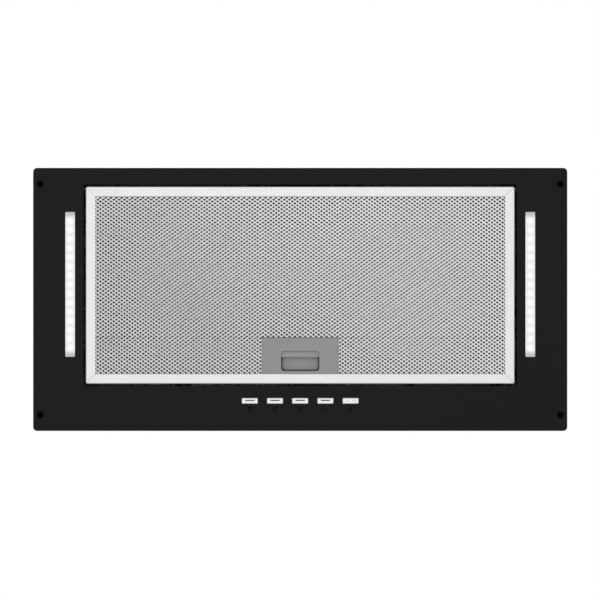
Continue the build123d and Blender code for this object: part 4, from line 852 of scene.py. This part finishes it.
# %% Set the camera
camera_distance = 2.5
picture_width = 595.2 * mm          # what the square picture takes in at the plate
picture_middle = (0.2 * mm, -0.57 * mm)
sensor_width = 36.0
camera_data = bpy.data.cameras.new("portrait_camera")
camera_data.sensor_width = sensor_width
camera_data.lens = sensor_width * camera_distance / picture_width
camera = bpy.data.objects.new("portrait_camera", camera_data)
bpy.context.scene.collection.objects.link(camera)
camera.location = (*picture_middle, plate_low - camera_distance)
camera.rotation_euler = (0, math.pi, 0)
bpy.context.scene.camera = camera
print("lens", round(camera_data.lens, 1), "mm")

# %% [markdown]
# ## Light
# The portrait has an even, nearly shadowless light and a pure white background. The world is white to the
# camera and softer for the surfaces. One large soft panel shines from below, and three smaller ones stand
# above for views of the top: without them the zinc would only mirror the even world and look flat.

# %% Light the insert
def panel(name, place, aim, size, power):
    """Square soft light at a place, turned to a point."""
    light = bpy.data.lights.new(name, "AREA")
    light.shape = "SQUARE"
    light.size = size
    light.energy = power
    lamp = bpy.data.objects.new(name, light)
    bpy.context.scene.collection.objects.link(lamp)
    lamp.location = place
    lamp.rotation_euler = (Vector(aim) - Vector(place)).to_track_quat("-Z", "Y").to_euler()
    lamp.visible_camera = False
    return lamp


insert_middle = (0, 0, 0.05)
panel("front_panel", (0.12, 0.32, -2.2), insert_middle, 2.6, 26)
panel("top_left_panel", (-2.2, -2.0, 2.4), insert_middle, 1.6, 90)
panel("top_right_panel", (2.6, -0.8, 1.6), insert_middle, 1.4, 40)
panel("rear_panel", (0.6, 2.6, 1.9), insert_middle, 1.6, 55)


def studio_world():
    world = bpy.data.worlds.new("studio")
    world.use_nodes = True
    tree = world.node_tree
    surfaces = tree.nodes["Background"]
    surfaces.inputs["Color"].default_value = (0.97, 0.98, 1.0, 1.0)
    surfaces.inputs["Strength"].default_value = 0.55
    backdrop = tree.nodes.new("ShaderNodeBackground")
    backdrop.inputs["Color"].default_value = (1.0, 1.0, 1.0, 1.0)
    backdrop.inputs["Strength"].default_value = 1.0
    ray = tree.nodes.new("ShaderNodeLightPath")
    choose = tree.nodes.new("ShaderNodeMixShader")
    tree.links.new(ray.outputs["Is Camera Ray"], choose.inputs["Fac"])
    tree.links.new(surfaces.outputs["Background"], choose.inputs[1])
    tree.links.new(backdrop.outputs["Background"], choose.inputs[2])
    tree.links.new(choose.outputs["Shader"], tree.nodes["World Output"].inputs["Surface"])
    return world


bpy.context.scene.world = studio_world()
bpy.context.scene.view_settings.view_transform = "Standard"
print("four soft panels and a white world")

# %% [markdown]
# ## Floor
# The insert hangs at head height, so the pale floor lies well below it and below the camera. It is a plain
# disc: nothing stands on it, and it only throws soft light back up.

# %% Lay the floor
floor_radius = 3.4
floor_height = -2.9


def pale_floor(radius, height):
    bm = bmesh.new()
    bmesh.ops.create_circle(bm, radius=radius, segments=96, cap_ends=True)
    bmesh.ops.translate(bm, vec=(0, 0, height), verts=bm.verts)
    mesh = bpy.data.meshes.new("floor")
    bm.to_mesh(mesh)
    bm.free()
    floor = bpy.data.objects.new("floor", mesh)
    bpy.context.scene.collection.objects.link(floor)
    dress(floor, moulded("pale_floor", (0.86, 0.86, 0.86), 0.6, grain=30 * mm))
    return floor


pale_floor(floor_radius, floor_height)
print("floor laid", -floor_height, "m below the insert")
